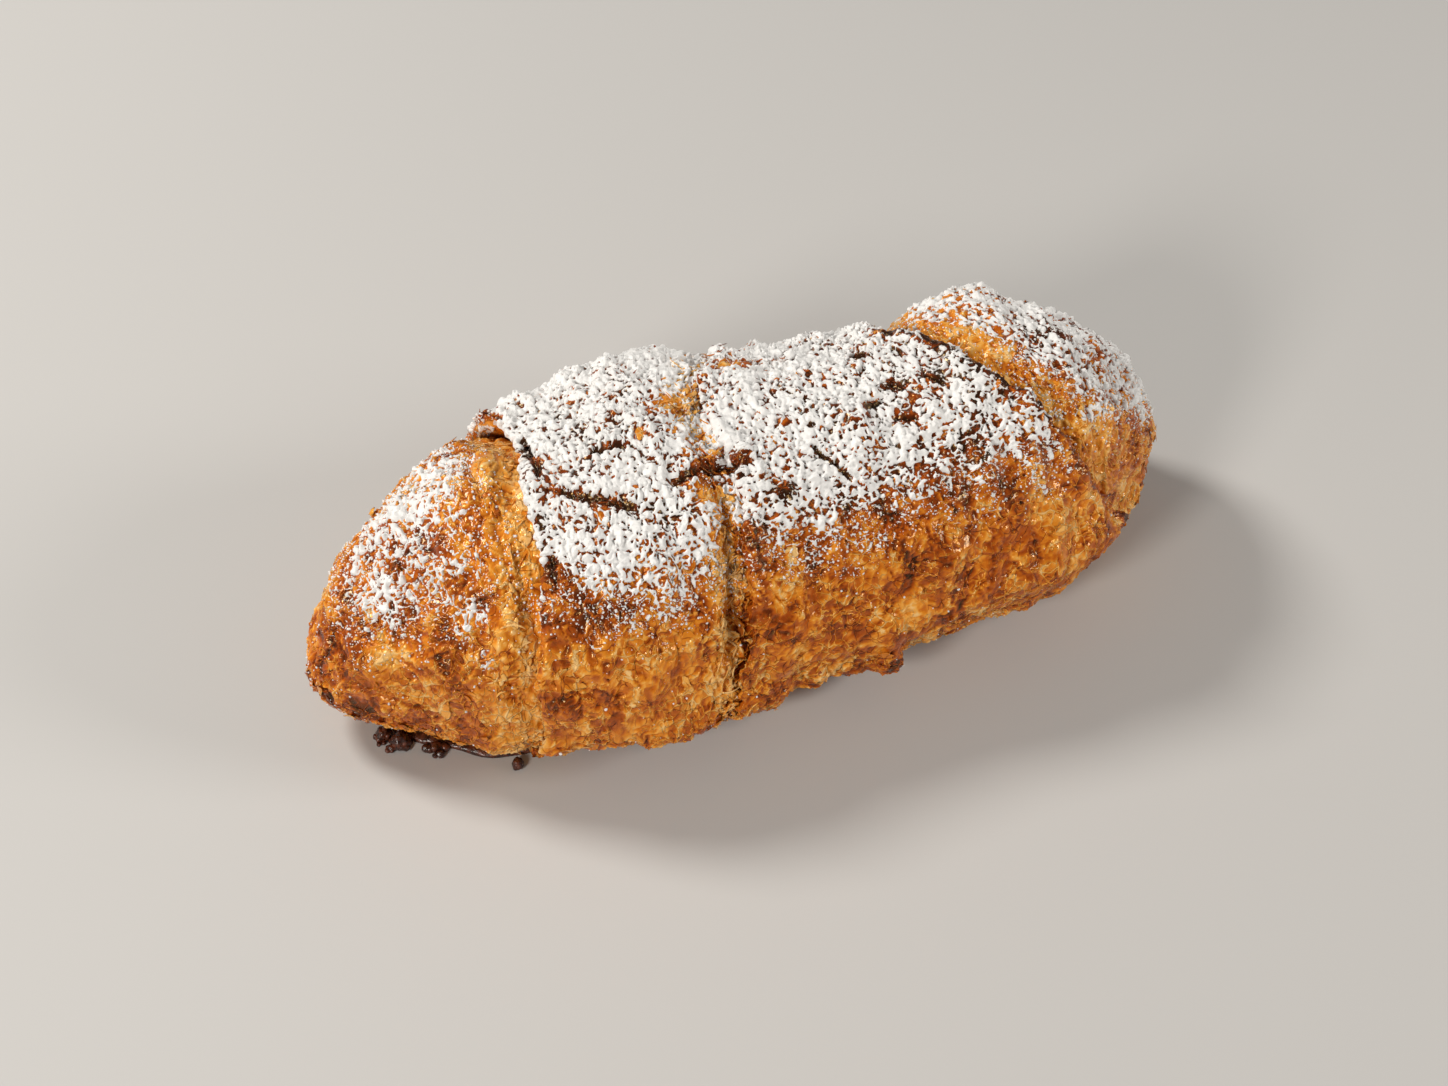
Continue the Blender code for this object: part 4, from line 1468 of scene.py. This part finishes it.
@dataclass
class Scatter:
    """Many small copies of one closed shape, each with its own size, bend and place."""

    name: str
    centres: Points
    normals: Points
    seed: int
    waves: tuple[tuple[int, float], ...] = ((2, 1.0), (3, 0.7), (5, 0.6))

    def frames(self, tilt: float) -> tuple[Points, Points, Points, np.random.Generator]:
        """Directions for each copy: along, across and up, tilted at random.

        Args:
            tilt: How far each copy leans off the skin, as a share of its own length.

        Returns:
            The three directions, and the random numbers that go on from there.
        """
        chance = np.random.default_rng(self.seed)
        size = (len(self.centres), 3)
        up = unit(self.normals + tilt * chance.normal(size=size))
        along = unit(np.cross(up, chance.normal(size=size)))
        return along, np.cross(up, along), up, chance

    def build(
        self,
        template: bmesh.types.BMesh,
        sizes: Points,
        curls: Points,
        tilt: float,
        raggedness: float,
        brown: Numbers | None = None,
    ) -> bpy.types.Object:
        """Joins all copies in one mesh.

        Args:
            template: A closed shape about 1 in radius, with its flat side across z.
            sizes: Half-sizes of each copy, in millimetres.
            curls: How much each copy bends upwards and sideways over its length.
            tilt: How far copies lean off the skin.
            raggedness: How uneven their outlines are.
            brown: How brown each copy is.

        Returns:
            The new object.
        """
        along, across, up, chance = self.frames(tilt)
        ball = places_of(template.verts)
        faces = [[vert.index for vert in face.verts] for face in template.faces]
        template.free()
        count, corners = len(self.centres), len(ball)
        bearing = np.arctan2(ball[:, 1], ball[:, 0])
        phases = chance.uniform(0.0, math.tau, size=(count, 3))
        wobble = sum(
            weight * np.cos(turns * bearing[None, :] + phases[:, [k]])
            for k, (turns, weight) in enumerate(self.waves)
        )
        local = ball[None, :, :] * sizes[:, None, :]
        local[:, :, :2] *= (1.0 + raggedness * wobble)[:, :, None]
        length = ball[None, :, 0] ** 2
        for curl, axis in ((0, 2), (1, 1)):
            local[:, :, axis] += curls[:, [curl]] * length * sizes[:, [0]]
        points = self.centres[:, None, :] + sum(
            local[:, :, [axis]] * direction[:, None, :]
            for axis, direction in enumerate((along, across, up))
        )
        points = points.reshape(-1, 3)
        points[:, 2] = np.maximum(points[:, 2], 0.05)
        starts = (np.arange(count) * corners).tolist()
        joined = [[corner + start for corner in face] for start in starts for face in faces]
        mesh = bpy.data.meshes.new(self.name)
        mesh.from_pydata(((points + FRAME_SHIFT) * MM).tolist(), [], joined)
        mesh.shade_smooth()
        made = linked(self.name, mesh)
        if brown is not None:
            put_attribute(made, "brown", np.repeat(brown, corners))
            put_attribute(made, "dust", np.zeros(count * corners))
        return made


@dataclass(frozen=True)
class Bits:
    """One kind of loose bit of pastry.

    Lengths are the least half-length, what can come on top and the power of that spread. Widths
    are shares of the length where slender is 1, and millimetres where it is 0. The two seeds
    after the first are for shapes and directions.
    """

    name: str
    count: int
    seed: int
    segments: int
    lengths: tuple[float, float, float]
    widths: tuple[float, float]
    slender: float
    thickness: float
    bends: tuple[tuple[float, float], tuple[float, float]]
    tints: tuple[float, float]
    browns: tuple[float, float]
    lift: float
    tilt: float
    raggedness: float


@dataclass
class Loose:
    """Flakes, shreds and sugar grains that lie loose on the crust."""

    skin: Skin
    dusting: Dusting
    wrap: Wrap = Wrap()
    flakes: Bits = Bits(
        name="loose_flakes", count=700, seed=5, segments=10, lengths=(0.4, 0.9, 1.6),
        widths=(0.35, 0.75), slender=1.0, thickness=0.06, bends=((-0.10, 0.30), (-0.3, 0.3)),
        tints=(-0.20, 0.05), browns=(0.10, 0.8), lift=0.10, tilt=0.16, raggedness=0.20,
    )
    shreds: Bits = Bits(
        name="pastry_shreds", count=300, seed=15, segments=12, lengths=(0.9, 1.4, 1.0),
        widths=(0.12, 0.22), slender=0.0, thickness=0.11, bends=((-0.1, 0.2), (-0.5, 0.5)),
        tints=(-0.25, 0.05), browns=(0.05, 0.7), lift=0.14, tilt=0.12, raggedness=0.05,
    )
    marked: tuple[Place, ...] = (
        (2.0, 39.5, 1.2, 0.8, 0.06), (-2.6, 32.0, 1.4, 0.7, 0.16), (45.7, 16.0, 1.5, 1.0, 0.26),
        (-52.6, 4.5, 2.0, 1.1, 0.18), (-17.3, 6.0, 1.7, 0.6, 0.14), (-16.5, 22.0, 1.6, 1.4, 0.33),
        (-15.1, 88.0, 1.2, 0.8, 0.20),
    )
    marked_thickness: float = 0.08
    marked_bends: tuple[tuple[float, float], ...] = ((-0.12, 0.02), (-0.2, 0.2))
    grain_count: int = 6500
    grain_sizes: tuple[float, float] = (0.09, 0.15)

    def pick(self, weight: Numbers, count: int, seed: int) -> np.ndarray:
        """Draws vertices of the skin at random, more often where their weight is larger."""
        angle = self.skin.angle
        weight = weight * (self.skin.detail > 0.9) * (angle > -62.0) * (angle < 240.0)
        chance = np.random.default_rng(seed)
        return chance.choice(len(weight), count, replace=False, p=weight / weight.sum())

    def in_split(self) -> Numbers:
        """1 inside the split and 0 away from it."""
        x, angle = self.skin.x, self.skin.angle
        return hump(x - self.wrap.split_foot(angle), 0.6, 2.4) * (angle > -20.0)

    def beside_left_edge(self) -> Numbers:
        """1 on the pale zone of the left end, beside the wrap's edge."""
        past = self.skin.x - self.wrap.left.read_round(self.skin.angle)
        return hump(past, -3.5, 3.0) * (self.skin.angle > 10.0)

    def scatter(self, name: str, chosen: np.ndarray, lift: float, seed: int) -> Scatter:
        """Copies at chosen vertices, raised a little off the skin."""
        normals = self.skin.normals[chosen]
        return Scatter(name, self.skin.points[chosen] + lift * normals, normals, seed)

    def strewn(self, kind: Bits, weight: Numbers) -> bpy.types.Object:
        """Strews one kind of bit over the crust, more of them where the weight is larger."""
        count = kind.count
        chosen = self.pick(weight, count, kind.seed)
        chance = np.random.default_rng(kind.seed + 1)
        least, spread, power = kind.lengths
        length = least + spread * chance.uniform(0.0, 1.0, count) ** power
        width = length**kind.slender * chance.uniform(*kind.widths, count)
        sizes = np.stack([length, width, np.full(count, kind.thickness)], -1)
        curls = np.stack([chance.uniform(*bend, count) for bend in kind.bends], -1)
        brown = self.skin.brown[chosen] + chance.uniform(*kind.tints, count)
        brown = np.clip(brown, *kind.browns)
        template = bmesh.new()
        bmesh.ops.create_uvsphere(template, u_segments=kind.segments, v_segments=4, radius=1.0)
        scatter = self.scatter(kind.name, chosen, kind.lift, kind.seed + 2)
        return scatter.build(template, sizes, curls, kind.tilt, kind.raggedness, brown)

    def pastry(self) -> tuple[bpy.types.Object, ...]:
        """Small thin flakes, curved shreds, and the larger single flakes."""
        split, beside = self.in_split(), self.beside_left_edge()
        low_front = hump(self.skin.angle, -18.0, 14.0)
        flakes = self.strewn(self.flakes, 0.30 + 5.0 * split + 1.6 * beside + 1.2 * low_front)
        shreds = self.strewn(self.shreds, 0.04 + 6.0 * split + 3.0 * beside)
        return flakes, shreds, self.marked_flakes()

    def marked_flakes(self) -> bpy.types.Object:
        """The larger single flakes, each at its own place."""
        table = np.array(self.marked)
        found = []
        for along, round_at in table[:, :2]:
            away = (self.skin.x - along) ** 2 + (0.5 * (self.skin.angle - round_at)) ** 2
            found.append(int(np.argmin(away + 1e3 * (self.skin.detail < 0.9))))
        count = len(table)
        sizes = np.column_stack([table[:, 2:4], np.full(count, self.marked_thickness)])
        chance = np.random.default_rng(26)
        curls = np.stack([chance.uniform(*bend, count) for bend in self.marked_bends], -1)
        template = bmesh.new()
        bmesh.ops.create_uvsphere(template, u_segments=24, v_segments=6, radius=1.0)
        scatter = self.scatter("large_flakes", np.array(found), 0.16, 27)
        return scatter.build(template, sizes, curls, 0.05, 0.16, table[:, 4])

    def grains(self) -> bpy.types.Object:
        """Single grains and crumbs of sugar, most of them round the border of the sugar."""
        x, angle = self.skin.x, self.skin.angle
        border = hump(angle - self.dusting.front_limit.read(x), -6.0, 8.5)
        border = border * (x > -38.0) * (x < 52.0)
        not_back = smooth_step(150.0, 130.0, angle)
        past_edge = smooth_step(-1.0, 3.0, x - self.wrap.right.read_round(angle))
        right = past_edge * smooth_step(25.0, 60.0, angle) * not_back
        left = (x < -37.0) * (x > -64.0) * smooth_step(24.0, 60.0, angle) * not_back
        split = self.in_split() * (angle > 20.0)
        weight = 0.03 + 1.2 * border + 0.9 * right + 0.8 * left + 0.6 * split
        chosen = self.pick(weight * (angle > -40.0), self.grain_count, 35)
        chance = np.random.default_rng(36)
        least, spread = self.grain_sizes
        size = least + spread * chance.uniform(0.0, 1.0, len(chosen)) ** 2
        sizes = size[:, None] * chance.uniform(0.7, 1.3, (len(chosen), 3))
        template = bmesh.new()
        bmesh.ops.create_icosphere(template, subdivisions=1, radius=1.0)
        scatter = self.scatter("sugar_grains", chosen, 0.04, 37)
        made = scatter.build(template, sizes, np.zeros((len(chosen), 2)), 0.5, 0.1)
        put_attribute(made, "thick", np.full(len(made.data.vertices), 0.5))
        return made


@dataclass(frozen=True)
class Chocolate:
    """The set chocolate under the left end: the layer itself, and the crumbly beads beside it."""

    sizes: ChocolateSizes = ChocolateSizes()
    waver: float = 0.05
    waver_size: tuple[float, float, float] = (2.0, 2.0, 7.0)
    bumps: tuple[Place, ...] = ((0.35, 1.6, 91.0), (0.2, 0.7, 92.0))
    bead_bumps: tuple[Place, ...] = ((0.28, 0.9), (0.12, 0.4))
    crumbs: int = 26
    crumb_sizes: tuple[float, float] = (0.3, 0.8)

    def pool(self) -> bpy.types.Object:
        """The layer, with a lumpy skin."""
        sizes = self.sizes
        shape = bmesh.new()
        bmesh.ops.create_uvsphere(shape, u_segments=180, v_segments=64, radius=1.0)
        ball = places_of(shape.verts)
        tilt = np.arccos(np.clip(ball[:, 2], -1.0, 1.0))
        bearing = np.arctan2(ball[:, 1], ball[:, 0])
        along, across = np.cos(bearing), np.sin(bearing)
        power = sizes.squareness
        corner = (np.abs(along) ** power + np.abs(across) ** power) ** (-1.0 / power)
        places = np.stack([along, across, np.ones_like(along)], -1)
        waver = 1.0 + self.waver * smooth_noise(places * np.array(self.waver_size), 1.0)
        reach = np.sin(tilt) ** sizes.side * corner * waver
        u, v = sizes.half_sizes[0] * along * reach, sizes.half_sizes[1] * across * reach
        turn = math.radians(sizes.turn)
        x = u * math.cos(turn) - v * math.sin(turn) + sizes.centre[0]
        y = u * math.sin(turn) + v * math.cos(turn) + sizes.centre[1]
        rise = sizes.height * np.maximum(np.cos(tilt), 0.0) ** sizes.top
        points = np.stack([x, y, np.where(tilt < math.pi / 2, rise, 0.0)], -1)
        bumps = sum(height * smooth_noise(points, size, seed) for height, size, seed in self.bumps)
        bumps = bumps * smooth_step(0.02, 0.4, points[:, 2])
        points = points + unit(points - np.array([*sizes.centre, 0.0])) * bumps[:, None]
        points[:, 2] = np.clip(points[:, 2], 0.0, sizes.height)
        move_vertices(shape.verts, points)
        return finished("chocolate_layer", shape)

    def beads(self) -> bpy.types.Object:
        """The beads and crumbs that ran out and set."""
        shape = bmesh.new()
        chance = np.random.default_rng(45)
        beads = [(*bead, 4) for bead in self.sizes.beads]
        for _ in range(self.crumbs):
            along, across, radius = self.sizes.beads[int(chance.integers(0, 3))]
            away = chance.normal(0.0, 1.5, 2)
            radius = chance.uniform(*self.crumb_sizes)
            beads.append((along + away[0], across + 0.5 * away[1], radius, 3))
        for along, across, radius, levels in beads:
            made = bmesh.ops.create_icosphere(shape, subdivisions=levels, radius=1.0)["verts"]
            ball = places_of(made)
            centre = np.array([along, across, self.sizes.bead_rise * radius])
            bumps = sum(
                height * smooth_noise(ball * radius, size, seed)
                for (height, size), seed in zip(self.bead_bumps, (along, across))
            )
            points = centre + ball * (radius * (1.0 + bumps))[:, None]
            points[:, 2] = np.maximum(points[:, 2], 0.0)
            move_vertices(made, points)
        return finished("chocolate_beads", shape)


@dataclass
class Studio:
    """Camera, lights and floor."""

    azimuth: float = -19.0
    elevation: float = 45.0
    distance: float = 0.417
    lens: float = 65.0
    sensor: float = 36.0
    nearest: float = 0.01
    target: tuple[float, float, float] = (0.0, 0.0, 20.0)
    target_pixel: tuple[float, float] = (735.0, 528.0)
    frame_size: tuple[float, float] = (1448.0, 1086.0)
    lamps: tuple[tuple[str, Place, float, float, Place], ...] = (
        ("key", (-0.42, 0.46, 0.66), 0.24, 5.5, (1.0, 0.965, 0.905)),
        ("fill", (-0.66, -0.52, 0.46), 0.22, 4.8, (1.0, 0.955, 0.89)),
        ("side", (0.72, -0.36, 0.38), 0.24, 3.3, (1.0, 0.965, 0.91)),
    )
    lit_point: tuple[float, float, float] = (0.0, 0.0, 0.02)
    sky: Place = (1.0, 0.975, 0.93, 1.0)
    sky_strength: float = 0.16
    floor_size: float = 3.0

    def camera(self) -> bpy.types.Object:
        """Makes the camera at the photograph's viewing angle."""
        turn, tilt = math.radians(self.azimuth), math.radians(self.elevation)
        level = math.cos(tilt)
        back = Vector((math.sin(turn) * level, -math.cos(turn) * level, math.sin(tilt)))
        data = bpy.data.cameras.new("camera")
        data.lens = self.lens
        data.sensor_width = self.sensor
        data.clip_start = self.nearest
        wide, high = self.frame_size
        data.shift_x = -(self.target_pixel[0] - wide / 2) / wide
        data.shift_y = (self.target_pixel[1] - high / 2) / wide
        made = linked("camera", data)
        made.location = Vector((np.array(self.target) + FRAME_SHIFT) * MM) + back * self.distance
        made.rotation_euler = back.to_track_quat("Z", "Y").to_euler()
        bpy.context.scene.camera = made
        return made

    def lamp(self, name: str, place: Place, size: float, power: float, colour: Place) -> None:
        """Hangs one soft light that shines at the pastry."""
        data = bpy.data.lights.new(name, "AREA")
        data.shape = "DISK"
        data.size = size
        data.energy = power
        data.color = colour
        made = linked(name, data)
        made.location = place
        away = Vector(place) - Vector(self.lit_point)
        made.rotation_euler = away.to_track_quat("Z", "Y").to_euler()

    def floor(self) -> None:
        """Lays the pale floor."""
        shape = bmesh.new()
        bmesh.ops.create_grid(shape, x_segments=1, y_segments=1, size=self.floor_size)
        made = finished("floor", shape)
        made.data.materials.append(FloorFinish().make())

    def build(self) -> None:
        """Sets up the whole studio."""
        self.camera()
        self.floor()
        for lamp in self.lamps:
            self.lamp(*lamp)
        world = bpy.data.worlds.new("studio")
        bpy.context.scene.world = world
        world.use_nodes = True
        background = world.node_tree.nodes["Background"].inputs
        background["Color"].default_value = self.sky
        background["Strength"].default_value = self.sky_strength
        bpy.context.scene.view_settings.view_transform = "Standard"


def adopt(made: bpy.types.Object, material: bpy.types.Material, node: str) -> None:
    """Dresses a finished piece, hangs it on the root body and hides the CAD part it replaces."""
    made.data.materials.append(material)
    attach(made, "root")
    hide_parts(node)
    log.info("%s: %d faces", made.name, len(made.data.polygons))


def main() -> None:
    """Builds every part of the pastry in order."""
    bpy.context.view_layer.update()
    Studio().build()
    pastry, dusting = Pastry(), Dusting()
    crust, sugar = CrustFinish().make(), SugarFinish().make()

    coat = SugarCoat()
    halves = ("_front", "_back")
    pieces = (
        (pastry.left_end(), dusting.on_left_end, ("",)),
        (pastry.left_band(), dusting.on_band, halves),
        (pastry.right_band(), dusting.on_band, halves),
        (pastry.right_end(), dusting.on_right_end, ("",)),
    )
    skins = []
    for piece, cover_at, endings in pieces:
        made, skin, lattice = piece.build(dusting.specks(cover_at))
        skins.append(skin)
        adopt(made, crust, "crust")
        for sheet in coat.build(f"sugar_on_{piece.name}", lattice, cover_at, endings):
            adopt(sheet, sugar, "crust")
    loose = Loose(Skin.joined(skins), dusting)
    for made in loose.pastry():
        adopt(made, crust, "crust")
    adopt(loose.grains(), sugar, "crust")
    dark = ChocolateFinish().make()
    chocolate = Chocolate()
    for made in (chocolate.pool(), chocolate.beads()):
        adopt(made, dark, "chocolate")


if __name__ == "__main__":
    main()
